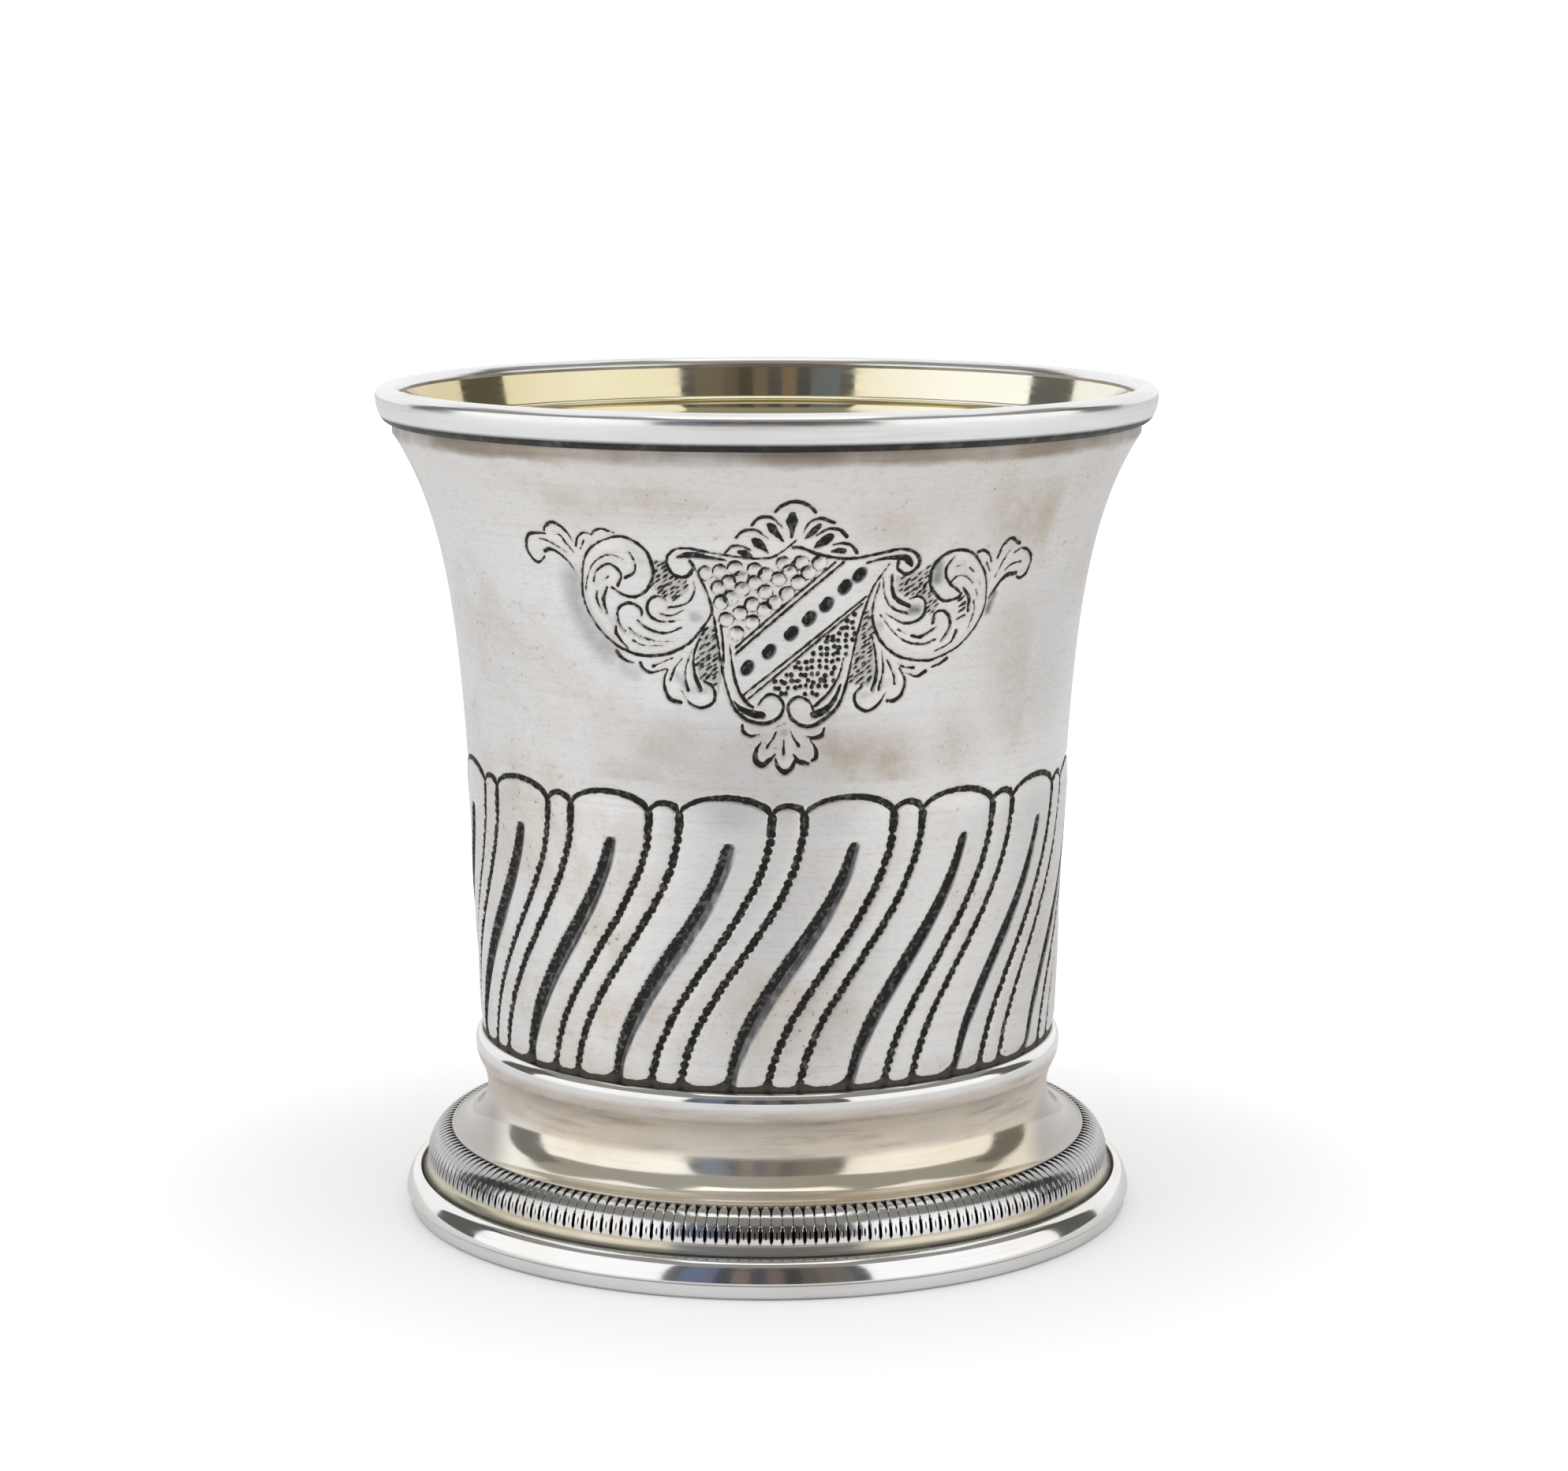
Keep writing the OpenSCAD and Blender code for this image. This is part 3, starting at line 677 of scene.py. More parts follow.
def flute_field(theta, z):
    """Distance to the edge of the flute lines, height and grey at angles (radians) and heights."""
    r = wall_r(z)
    turned = np.degrees(theta)
    u = turned - FLUTE_TURN - swing(z)
    k = np.floor(u / FLUTE_PITCH + 0.5).astype(int)
    local = u - k * FLUTE_PITCH
    lean = np.interp(z, LEAN_Z, LEAN)
    length = np.interp(z, LEAN_Z, LEAN_LEN)
    spring = SPRING_Z - ARCADE_SAG * smooth(5, 60, turned) * smooth(170, 110, turned)
    lines = bead_lines(k, local, z, r, lean, length, spring)
    arches = arcade(local, z, r, spring)
    drop, grey, drop_height = tear_drop(turned, local, z, r, lean, length)
    # Below each lobe's end the wall is dark: grime with painted shade of the gap over the collar.
    cut = np.minimum.reduce([lines, arches, drop, z - lobe_end(local)])
    height = np.minimum.reduce([-BEAD_DEPTH * smooth(.1, -.45, lines), -ARCH_DEPTH * smooth(.1, -.25, arches),
                                drop_height])
    return np.clip(cut, -FIELD_REACH, FIELD_REACH), height + lobe_swell(local, z), grey


def bead_lines(k, local, z, r, lean, length, spring):
    """Distance to the edge of the two beaded lines of each repeat, which end plain under the arches."""
    edges = []
    for side, line in ((-1, 0), (1, 1)):
        across = np.radians(local - side * NARROW_HALF) * r
        foot = length + across * np.sin(lean)
        bead = np.clip((foot / BEAD_PITCH).astype(int), 0, BEAD_N - 1)
        wander = BEAD_JITTER[(2 * k + line) % (2 * FLUTE_N), bead]
        off = across * np.cos(lean)
        d = np.hypot(off - BEAD_WANDER[0] * wander[..., 0],
                     foot - (bead + .5 + BEAD_WANDER[1] * wander[..., 1]) * BEAD_PITCH)
        core = np.abs(off) - LINE_W * np.where(z > spring - PLAIN_END, TOP_CORE_SHARE, CORE_SHARE)
        edges.append(np.where(z > spring, FIELD_REACH, np.minimum(d - LINE_W / 2, core)))
    return np.minimum(*edges)


def arcade(local, z, r, spring):
    """Distance to the edge of the arches' line, with a round post where two arches meet."""
    narrow = np.abs(local) < NARROW_HALF
    half = np.where(narrow, NARROW_HALF, WIDE_HALF)
    mid = np.where(narrow, 0, np.sign(local) * FLUTE_PITCH / 2)
    rise = np.where(narrow, NARROW_RISE, WIDE_RISE)
    t = np.clip((local - mid) / half, -1, 1)
    arch_z = spring + rise * np.sqrt(1 - t * t)
    steepest = np.where(z > arch_z, .15, .02)
    slope = rise * t / np.sqrt(np.maximum(1 - t * t, steepest)) / (np.radians(half) * r)
    edge = np.abs(z - arch_z) / np.hypot(1, slope) - ARCH_W / 2 * (1 + ARCH_SWELL * t)
    post = np.hypot(np.radians(np.abs(local) - NARROW_HALF) * r, z - spring) - LINE_W / 2
    return np.where(z > spring - .5, np.minimum(edge, post), FIELD_REACH)


def lobe_end(local):
    """Height at which each lobe ends in a round foot above the dark matting, which is partly painted shade of
    the gap over the collar.
    """
    wide = NARROW_HALF + WIDE_HALF / 2
    narrow = np.abs(local) < NARROW_HALF
    half = np.where(narrow, NARROW_HALF, FLUTE_PITCH / 2 - wide)
    x = np.where(narrow, local, np.abs(local) - wide) / half
    return END_Z + END_RISE * np.abs(x) ** 3


def tear_drop(turned, local, z, r, lean, length):
    """The sunk tear-drop of each wide lobe: edge of its stippled left side, painted grey shade on its right
    slope, height.

    On the lobes to the right the drop is narrower, and its dark side is painted further across it as shade.
    """
    across = np.radians(local % FLUTE_PITCH - FLUTE_PITCH / 2) * r - DROP_SHIFT
    side = across * np.cos(lean)
    foot = length + across * np.sin(lean)
    t = np.clip((DROP_TOP_Z - z) / (DROP_TOP_Z - COLLAR_TOP_Z), 0, 1)
    right = smooth(0, 30, turned) * smooth(180, 90, turned)
    half = DROP_W / 2 * np.interp(t, DROP_T, DROP_SHARE) * (1 - DROP_RIGHT_LESS * right)
    head = np.hypot(side, np.maximum(z - (DROP_TOP_Z - DROP_HEAD * DROP_W), 0) / np.cos(lean))
    inner = head - half
    scallop = STIPPLE_DEPTH * np.cos(FULL_TURN * foot / STIPPLE_PITCH)
    # The dark side reaches further on the right lobes as painted shade; the grey of the right slope is
    # painted shade.
    dark = np.maximum(inner + scallop, side - (STIPPLE_SHARE + RIGHT_LOBE_SHADE_SHARE * right) * half)
    return dark, DROP_SHADE_GREY * smooth(.1, -.12, inner), -DROP_DEPTH * smooth(.1, -.75, inner)


def lobe_swell(local, z):
    """A slight fullness of each lobe between its lines."""
    narrow = np.abs(local) < NARROW_HALF
    x = np.where(narrow, local / NARROW_HALF, (FLUTE_PITCH / 2 - np.abs(local)) / WIDE_HALF)
    fade = smooth(54.5, 50, z) * smooth(COLLAR_TOP_Z - .5, COLLAR_TOP_Z + 2, z)
    return np.where(narrow, NARROW_SWELL, WIDE_SWELL) * (1 - x ** 2) * fade


def flute_columns():
    """Angles of the mesh columns over one repeat, close together on the lines and the tear-drop."""
    per_mm = math.degrees(1 / wall_r(np.array(36.0)))
    line = np.arange(-.8, .81, .2) * per_mm
    drop = (DROP_SHIFT + np.arange(-1.25, 1.26, .25)) * per_mm
    narrow = np.linspace(-NARROW_HALF + 1.2 * per_mm, NARROW_HALF - 1.2 * per_mm, 3)
    low = NARROW_HALF + 1.3 * per_mm
    middle = FLUTE_PITCH / 2 + DROP_SHIFT * per_mm
    left = np.linspace(low, middle - 1.65 * per_mm, 6)
    right = np.linspace(middle + 1.65 * per_mm, FLUTE_PITCH - low, 4)
    return np.sort(np.concatenate([-NARROW_HALF + line, narrow, NARROW_HALF + line, left,
                                   FLUTE_PITCH / 2 + drop, right]))


def chased_ring(theta, z):
    """A ring of the fluted part: angles, heights, and cut, height, grey and brown."""
    zs = np.full(len(theta), z)
    return (theta, zs) + flute_field(theta, zs) + (0 * zs,)


def plain_ring(theta, z, height=0):
    """A ring without ornament, in the same form."""
    zero = np.zeros(len(theta))
    return theta, zero + z, zero + FIELD_REACH, zero + height, zero, zero


def wall_rings():
    """The rings of the wall's outside, from the foot up."""
    one = flute_columns()
    columns = np.concatenate([FLUTE_PITCH * k + one for k in range(-FLUTE_N // 2, FLUTE_N // 2)]) + FLUTE_TURN
    heights = np.concatenate([[FLOOR_Z, 20.6], np.arange(21.2, 51.1, .25)])
    rings = [chased_ring(np.radians(columns + swing(z)), z) for z in heights]
    arches = np.radians(np.linspace(-172, 188, 1100, endpoint=False))
    rings += [chased_ring(arches, z) for z in np.arange(51.2, 55.5, .15)]
    layers = draw_cartouche()
    patch = PATCH_S / DRAW_R
    plain = np.linspace(patch[-1], patch[0] + FULL_TURN, 112)[1:-1]
    theta = np.concatenate([patch, plain])
    for i, z in enumerate(PATCH_Z):
        values = [np.concatenate([layer[i], np.full(len(plain), rest)])
                  for layer, rest in zip(layers, (FIELD_REACH, 0, 0, 0))]
        rings.append((theta, np.full(len(theta), z), *values))
    heights = np.concatenate([np.arange(88.6, LIP_Z, .4), [LIP_Z, 92, 94, WALL_TOP_Z]])
    return rings + [plain_ring(all_round(288, patch[0]), z) for z in heights]


def inner_rings():
    """The rings of the wall's inside, from the lip down; the lining covers them."""
    heights = np.concatenate([[WALL_TOP_Z], np.linspace(LIP_Z, 60, 14), [45, 32, COLLAR_TOP_Z, FLOOR_Z]])
    return [plain_ring(all_round(144), z, -WALL_T) for z in heights]


def build_wall(material):
    """The wall as one closed mesh with its chasing."""
    rings = wall_rings() + inner_rings()
    first = np.concatenate([[0], np.cumsum([len(ring[0]) for ring in rings])])
    points = [on_axis(theta, wall_r(z) + height, z) for theta, z, _, height, _, _ in rings]
    faces = []
    for k, ring in enumerate(rings):
        m = (k + 1) % len(rings)
        following = rings[m]
        if len(ring[0]) == len(following[0]):
            faces.append(ring_quads(first[k], first[m], len(ring[0])))
        else:
            faces.append(zip_turned(first[k], ring[0], first[m], following[0]))
    layers = {name: np.concatenate([ring[k] for ring in rings])
              for name, k in (("cut", 2), ("grey", 4), ("brown", 5))}
    obj = build_piece("chased_wall", np.concatenate(points), faces, layers, material, 60)
    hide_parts("cup_wall")
    return obj


# The milled band

def build_band(material):
    """The band of rounded tongues with dark slots between them and a dimple in each end."""
    across_n, along_n = 16, 26
    pitch = FULL_TURN / TONGUE_N
    v = (np.arange(across_n) + .5) / across_n - .5
    theta = (np.arange(TONGUE_N)[:, None] + v[None, :]).ravel() * pitch - math.pi
    v = np.tile(v, TONGUE_N)
    rows, cuts = [], []
    width, height = BAND_R - SPOOL_LIP_R, SEAT_Z + SPOOL_LIP_H - .05 - BAND_Z
    for t in np.linspace(0, 1, along_n):
        a = math.pi / 2 * (1 - t)
        nr, nz = math.cos(a) / width, math.sin(a) / height
        nr, nz = nr / math.hypot(nr, nz), nz / math.hypot(nr, nz)
        r = SPOOL_LIP_R + width * math.cos(a)
        z = BAND_Z + height * math.sin(a)
        off = np.abs(v) * pitch * r
        edge = pitch * r / 2 - off - np.interp(t, SLOT_T, SLOT_HALF)
        dimple = np.hypot(off / DIMPLE_W, (t - DIMPLE_AT) / DIMPLE_LEN) - .5
        h = (-SLOT_DEPTH * smooth(.04, -.08, edge) - TONGUE_CROWN * (off / (pitch * r / 2)) ** 2
             - DIMPLE_DEPTH * smooth(.2, -.6, dimple))
        rows.append(on_axis(theta, r + h * nr, z + h * nz))
        cuts.append(np.minimum(edge, .1 * dimple))
    n = len(theta)
    back = [(SPOOL_LIP_R, SEAT_Z), (SPOOL_LIP_R - BAND_T, SEAT_Z - .02), (BAND_R - BAND_T, BAND_Z)]
    rows = rows[::-1] + [on_axis(all_round(n), r, z) for r, z in back]
    cuts = cuts[::-1] + [np.full(n, FIELD_REACH)] * len(back)
    obj = build_piece("milled_tongues", np.concatenate(rows), tube_quads(len(rows), n),
                      {"cut": np.concatenate(cuts)}, material, 50)
    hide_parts("milled_band")
    return obj


# The turned rings

def stand_section():
    """A plain flat ring, round at its lower edge, with painted shadow where it meets the table and a dark
    joint above.
    """
    round_r = .4
    return (worn_and_shaded([(BASE_IN_R, 0)])
            # The round lower edge is darkened as painted shadow where it meets the table.
            + worn_and_shaded(arc(STAND_R - round_r, round_r, round_r, round_r, -90, 0, 6), np.linspace(.8, 0, 7))
            + worn_and_shaded([(STAND_R, STAND_H - .2)])
            + worn_and_shaded([(STAND_R - .02, STAND_H), (BASE_IN_R, STAND_H)], (.9, 0)))


def base_section():
    """A leaning side that rounds over to the groove, then the hollow fillet under the milled band."""
    side_r, low_turn, high_turn = 5.2, 8, 29
    low_z = STAND_H + .2
    side_cr = BASE_R - side_r * math.cos(math.radians(low_turn))
    side_cz = low_z - side_r * math.sin(math.radians(low_turn))
    side = arc(side_cr, side_cz, side_r, side_r, low_turn, high_turn, 14)
    top_r = (ROLL_TOP_Z - side[-1][1]) / (1 - math.sin(math.radians(high_turn)))
    top_cr = side[-1][0] - top_r * math.cos(math.radians(high_turn))
    top = arc(top_cr, ROLL_TOP_Z - top_r, top_r, top_r, high_turn, 88, 16)[1:]
    fillet = arc(GROOVE_R - GROOVE_W, BAND_Z, FILLET_W, FILLET_H, 270, 180, 14)
    foot = [(BASE_IN_R, STAND_H), (BASE_R - .3, STAND_H), (BASE_R - .05, STAND_H + .08)]
    return (worn_and_shaded(foot, (0, 1, .8))
            + worn_and_shaded(side + top)
            + worn_and_shaded([(GROOVE_R - GROOVE_W / 2, ROLL_TOP_Z - GROOVE_W)], 1, 1)
            + worn_and_shaded(fillet, np.clip(np.linspace(1.2, -.6, 15), 0, .95), .6)
            + worn_and_shaded([(BAND_R - BAND_T, BAND_Z), (SPOOL_LIP_R - BAND_T, SEAT_Z), (SEAT_R, SEAT_Z)]))


def spool_section():
    """The neck under the collar, the waist, the hollow that flares out and the raised lip."""
    hollow_r = SPOOL_LIP_R - SPOOL_LIP_W
    hollow_z = SEAT_Z + SPOOL_LIP_H
    sweep_r = (COLLAR_LOW_Z - WAIST_Z) / math.sin(math.radians(NECK_LEAN))
    neck = arc(WAIST_R + sweep_r, WAIST_Z, sweep_r, sweep_r, 180 - NECK_LEAN, 180, 10)
    hollow = arc(hollow_r, WAIST_Z, hollow_r - WAIST_R, WAIST_Z - hollow_z, 180, 270, 28)[1:]
    lip = arc(SPOOL_LIP_R - SPOOL_LIP_W / 2, hollow_z, SPOOL_LIP_W / 2, SPOOL_LIP_W / 3, 160, 0, 8)
    inner = (arc(SEAT_R, WAIST_Z, SEAT_R - WAIST_R + SPOOL_T, WAIST_Z - SEAT_Z, 270, 180, 16)
             + [(NECK_R - SPOOL_T, FLOOR_Z - SPOOL_T), (FLANGE_R, FLOOR_Z - SPOOL_T)])
    section = (worn_and_shaded([(FLANGE_R, FLOOR_Z), (NECK_R, FLOOR_Z), (NECK_R, COLLAR_LOW_Z)], 0, 1)
               + worn_and_shaded(neck, 0, 1)
               + worn_and_shaded(hollow, 0, np.interp(np.arange(28), (0, 1, 4), (1, .7, .05)))
               + worn_and_shaded(lip + [(SPOOL_LIP_R, SEAT_Z)], (0, 0, 0, 0, 0, 0, 0, 0, .5, 1))
               + worn_and_shaded(inner))
    return section[::-1]


def collar_section():
    """A bead over the joint, round on top, which runs into the neck below in one sweep."""
    top_r = 1.35
    low_r = (COLLAR_NOSE_Z - COLLAR_LOW_Z) / math.sin(math.radians(NECK_LEAN))
    low = arc(COLLAR_R - low_r, COLLAR_NOSE_Z, low_r, low_r, -NECK_LEAN, 0, 12)
    top = arc(COLLAR_R - top_r, COLLAR_NOSE_Z, top_r, top_r, 0, 70, 16)[1:]
    return (worn_and_shaded([(NECK_R, COLLAR_LOW_Z)], 0, 1)
            + worn_and_shaded(low, 0, np.interp(np.arange(13), (0, 7, 10), (1, .9, .1)))
            # Grime with painted shade where the bead's top turns in under the wall.
            + worn_and_shaded(top, np.r_[np.zeros(12), .1, .3, .7, 1])
            + worn_and_shaded([(FOOT_R - .05, FLOOR_Z), (NECK_R, FLOOR_Z)], 1))


def lining_section():
    """The gilt skin: floor, wall, and a lip that leans out a little above the bend."""
    z = np.concatenate([[21.6], np.linspace(24, 70, 12), np.linspace(72, 88, 12), np.arange(88.4, 90.1, .3),
                        np.arange(90.2, 92.1, .08), [93.2, GOLD_TOP_Z]])
    gilt_z = FLOOR_Z + FLOOR_T
    outer_r = wall_r(z) - WALL_T
    inset = np.where(z < LIP_Z, np.exp((z - LIP_Z) / LIP_SETTLE), (GOLD_TOP_Z - z) / (GOLD_TOP_Z - LIP_Z))
    rise = z - LIP_Z - .2
    ridge = np.exp(-(rise / np.where(rise < 0, BEND_LOW_W, BEND_HIGH_W)) ** 2)
    inner_r = outer_r - GILT_T - LIP_INSET * inset - BEND_RIDGE * ridge
    corner = arc(FOOT_R - WALL_T - GILT_T - CORNER_ROUND, gilt_z + GILT_T + CORNER_ROUND,
                 CORNER_ROUND, CORNER_ROUND, 0, -90, 6)
    outer = [(0.01, gilt_z), (FOOT_R - WALL_T, gilt_z)] + list(zip(outer_r, z))
    inner = list(zip(inner_r, z))[::-1][:-1] + corner + [(0.01, gilt_z + GILT_T)]
    return worn_and_shaded(outer + inner)


def rim_section():
    """A half-round wire that laps over the lip, with a shoulder on top and a dark underside, grime with
    painted shade.
    """
    in_r = LIP_R - WALL_T
    nose_r = LIP_R + .3
    shoulder_r, shoulder_turn, top_turn = .75, 45, 85
    low = arc(nose_r, RIM_NOSE_Z, RIM_R - nose_r, RIM_NOSE_Z - RIM_Z, -90, 0, 18)
    shoulder = arc(RIM_R - shoulder_r, RIM_NOSE_Z, shoulder_r, shoulder_r, 0, shoulder_turn, 10)[1:]
    side_r, side_z = shoulder[-1]
    low_sin, high_sin = (math.sin(math.radians(a)) for a in (shoulder_turn, top_turn))
    top_r = (RIM_TOP_Z - side_z) / (high_sin - low_sin)
    top_cr = side_r - top_r * math.cos(math.radians(shoulder_turn))
    top = arc(top_cr, RIM_TOP_Z - top_r * high_sin, top_r, top_r, shoulder_turn, top_turn, 10)[1:]
    inside_r = arc(in_r + RIM_IN_ROUND, GOLD_TOP_Z, RIM_IN_ROUND, RIM_TOP_Z - GOLD_TOP_Z, 90, 180, 12)
    return (worn_and_shaded([(LIP_R, RIM_Z + .1)], 1)
            # Grime with painted shade on the lower half of the wire, which faces down over the wall.
            + worn_and_shaded(low, np.interp(np.arange(19), (8, 10), (1, 0)))
            + worn_and_shaded(shoulder + top + inside_r)
            + worn_and_shaded([(in_r + .1, GOLD_TOP_Z - .05), (LIP_R, GOLD_TOP_Z - .05)], (1, 0)))


# Materials

BUMP_M = .0001


class Paint:
    """A node material and short ways to add nodes to it; places and noise are in metres of the object."""

    def __init__(self, name, color):
        self.material = bpy.data.materials.new(name)
        self.material.use_nodes = True
        self.nodes = self.material.node_tree.nodes
        self.nodes.clear()
        self.shader = self.nodes.new("ShaderNodeBsdfPrincipled")
        self.join(self.shader.outputs["BSDF"], self.nodes.new("ShaderNodeOutputMaterial").inputs["Surface"])
        self.color = color

    def join(self, source, target):
        """Links an output to an input."""
        self.material.node_tree.links.new(source, target)

    def give(self, socket, value):
        """Gives an input a number, a colour or the value of an output."""
        if isinstance(value, (int, float)):
            socket.default_value = value
        elif isinstance(value, tuple):
            socket.default_value = value + (1,)
        else:
            self.join(value, socket)

    def put(self, name, value):
        """Gives a value to one of the shader's own sockets."""
        self.give(self.shader.inputs[name], value)

    def noise(self, scale, stretch=(1, 1, 1), detail=4, rough=.55):
        """Noise in the object's own space; scale is per metre."""
        mapping = self.nodes.new("ShaderNodeMapping")
        mapping.inputs["Scale"].default_value = stretch
        texture = self.nodes.new("ShaderNodeTexNoise")
        for socket, number in (("Scale", scale), ("Detail", detail), ("Roughness", rough)):
            texture.inputs[socket].default_value = number
        self.join(self.nodes.new("ShaderNodeTexCoord").outputs["Object"], mapping.inputs["Vector"])
        self.join(mapping.outputs["Vector"], texture.inputs["Vector"])
        return texture.outputs["Fac"]

    def layer(self, name):
        """A vertex value of the mesh."""
        node = self.nodes.new("ShaderNodeAttribute")
        node.attribute_name = name
        return node.outputs["Fac"]

    def place(self, axis):
        """Place of the shaded point along one of the object's axes."""
        split = self.nodes.new("ShaderNodeSeparateXYZ")
        self.join(self.nodes.new("ShaderNodeTexCoord").outputs["Object"], split.inputs["Vector"])
        return split.outputs[axis]

    def off_middle(self):
        """Distance to the left or right of the middle."""
        return self.chain("ABSOLUTE", self.place("X"), 0)

    def remap(self, value, low, high, to_low=0.0, to_high=1.0):
        """Maps a value from one range to another by a smooth step, clamped."""
        node = self.nodes.new("ShaderNodeMapRange")
        node.interpolation_type = "SMOOTHSTEP"
        for socket, number in zip(("From Min", "From Max", "To Min", "To Max"), (low, high, to_low, to_high)):
            node.inputs[socket].default_value = number
        self.join(value, node.inputs["Value"])
        return node.outputs["Result"]

    def chain(self, operation, *values):
        """One operation over several values, from the first to the last."""
        result = values[0]
        for value in values[1:]:
            node = self.nodes.new("ShaderNodeMath")
            node.operation = operation
            self.give(node.inputs[0], result)
            self.give(node.inputs[1], value)
            result = node.outputs["Value"]
        return result

    def times(self, *values):
        """The product of several values."""
        return self.chain("MULTIPLY", *values)

    def plus(self, *values):
        """The sum of several values."""
        return self.chain("ADD", *values)

    def larger(self, *values):
        """The largest of several values."""
        return self.chain("MAXIMUM", *values)

    def mix(self, factor, a, b):
        """A mix of two colours."""
        node = self.nodes.new("ShaderNodeMix")
        node.data_type = "RGBA"
        self.join(factor, node.inputs["Factor"])
        for name, value in (("A", a), ("B", b)):
            self.give([s for s in node.inputs if s.name == name and s.type == "RGBA"][0], value)
        return [s for s in node.outputs if s.type == "RGBA"][0]

    def coat(self, color, factor):
        """Lays another colour over the present one."""
        self.color = self.mix(factor, self.color, color)

    def done(self, metallic, rough, height=None, strength=0):
        """Gives the shader its colour, metal, roughness and bump; returns the material."""
        self.put("Base Color", self.color)
        self.put("Metallic", metallic)
        self.put("Roughness", rough)
        if height is not None:
            node = self.nodes.new("ShaderNodeBump")
            node.inputs["Strength"].default_value = strength
            node.inputs["Distance"].default_value = BUMP_M
            self.join(height, node.inputs["Height"])
            self.put("Normal", node.outputs["Normal"])
        return self.material


SILVER = (.865, .855, .848)
FRONT_HIGHLIGHT_SILVER = (.95, .945, .94)
EDGE_SHEEN_SILVER = (.935, .94, .97)
COOL_SILVER = (.85, .86, .89)
WARM_PATINA = (.68, .60, .49)
BROWN_STAIN = (.50, .41, .30)
TONGUE_SILVER = (.9, .89, .89)
SHOULDER_SHADE_SILVER = (.43, .43, .44)
SHADED_SILVER = (.62, .60, .585)
BROWN_TARNISH = (.31, .255, .2)
OXIDE = (.05, .049, .047)
PALE_OXIDE = (.2, .2, .2)
FOOT_GRIME_AND_SHADE = (.14, .122, .1)
GREY_OXIDE_AND_SHADE = (.1, .102, .11)

# Turned rings: clean silver, worn silver and tarnish
POLISHED = (.86, .855, .86), (.80, .79, .775), (.55, .48, .41)
BASE_SILVER = (.86, .855, .86), (.82, .80, .76), (.58, .47, .2)
FOOT_SILVER = (.90, .855, .76), (.78, .70, .56), (.60, .535, .46)
# Painted dark reflection at the front of the base's fillet.
BASE_FRONT_SHADE = (.11, .09, .06)
# Painted shade on the foot's flanks, left and right of the front.
FOOT_FLANK_SHADE = (.36, .34, .32)

GILT = (.85, .79, .60)
DEEP_GILT = (.77, .70, .46)
LEFT_SHADE_GILT = (.66, .56, .31)
RIGHT_HIGHLIGHT_GILT = (.93, .91, .80)


def satin_silver():
    """The wall: satin silver with warm patina, fine scratches and specks, brown under the rim, dark cuts, and
    painted shade, sheen and highlights.
    """
    m = Paint("satin_silver", SILVER)
    x, z, middle = m.place("X"), m.place("Z"), m.off_middle()
    blotch = m.noise(55, detail=7, rough=.65)
    m.coat(WARM_PATINA, m.remap(blotch, .45, .7, 0, .8))
    # Painted shade: darker towards the right side, and low in the middle just above the arcade.
    off_band = m.larger(m.remap(z, .054, .066), m.remap(z, .053, .050))
    right = m.times(m.remap(x, 0, .035, 0, .46), m.remap(z, .1, .085, .3, 1), off_band)
    low = m.times(m.remap(z, .066, .058, 0, .3), m.remap(z, .052, .055), m.remap(middle, .03, .016))
    m.coat(SHADED_SILVER, m.plus(right, low))
    # Painted cool reflection on the left side of the wall.
    m.coat(COOL_SILVER, m.remap(x, -.018, -.042, 0, .4))
    # Painted sheen near the left and right edges of the wall.
    m.coat(EDGE_SHEEN_SILVER, m.times(m.remap(middle, .031, .037, 0, .7), m.remap(z, .078, .066)))
    m.coat(WARM_PATINA, m.remap(z, .079, .087, 0, .16))
    # Painted highlight down the middle of the front, over the cartouche.
    front_highlight = m.times(m.remap(middle, .022, .004, 0, .75), m.remap(z, .06, .067), m.remap(z, .087, .081))
    m.coat(FRONT_HIGHLIGHT_SILVER, front_highlight)
    patchy = m.remap(m.noise(260, detail=6, rough=.7), .3, .65, .25, .88)
    m.coat(BROWN_STAIN, m.times(m.layer("brown"), patchy))
    m.coat(COOL_SILVER, m.remap(m.noise(28, detail=2), .5, .75, 0, .6))
    streak = m.noise(60, (1, 1, 40), detail=5, rough=.7)
    m.coat(WARM_PATINA, m.remap(streak, .5, .8, 0, .35))
    m.coat(GREY_OXIDE_AND_SHADE, m.remap(m.noise(1100, (1, 1, 2.5), rough=.75), .48, .8, 0, .2))
    speck = m.times(m.remap(m.noise(1500, detail=1), .68, .76), m.remap(blotch, .45, .62, .05, .5))
    m.coat(GREY_OXIDE_AND_SHADE, speck)
    edge = m.plus(z, m.times(m.noise(160, (1, 1, 3), detail=6), .0016))
    amount = m.remap(m.noise(60, (1, 1, .3), detail=6), .3, .62, .2, .9)
    m.coat(BROWN_TARNISH, m.times(m.remap(edge, .0911, .0923), amount))
    cut = m.layer("cut")
    m.coat(WARM_PATINA, m.times(m.remap(cut, .4, 0), .3))
    # Grey matting, with painted shade on the tear-drops' right slopes and in the pellet pits.
    m.coat(GREY_OXIDE_AND_SHADE, m.times(m.layer("grey"), m.remap(m.noise(900), .3, .6, .75, 1)))
    ragged = m.plus(cut, m.remap(m.noise(1300, detail=2), .3, .7, -.05, .05))
    ink = m.remap(ragged, .05, -.05)
    oxide = m.mix(m.remap(m.noise(1700, detail=3), .5, .68), OXIDE, PALE_OXIDE)
    # The dark band at the foot of the wall is grime with painted shade of the gap over the collar.
    oxide = m.mix(m.remap(z, .0224, .0217, 0, .8), oxide, FOOT_GRIME_AND_SHADE)
    m.coat(oxide, ink)
    rough = m.plus(m.remap(streak, .3, .7, .42, .54), m.times(ink, .2))
    return m.done(1, rough, streak, .15)


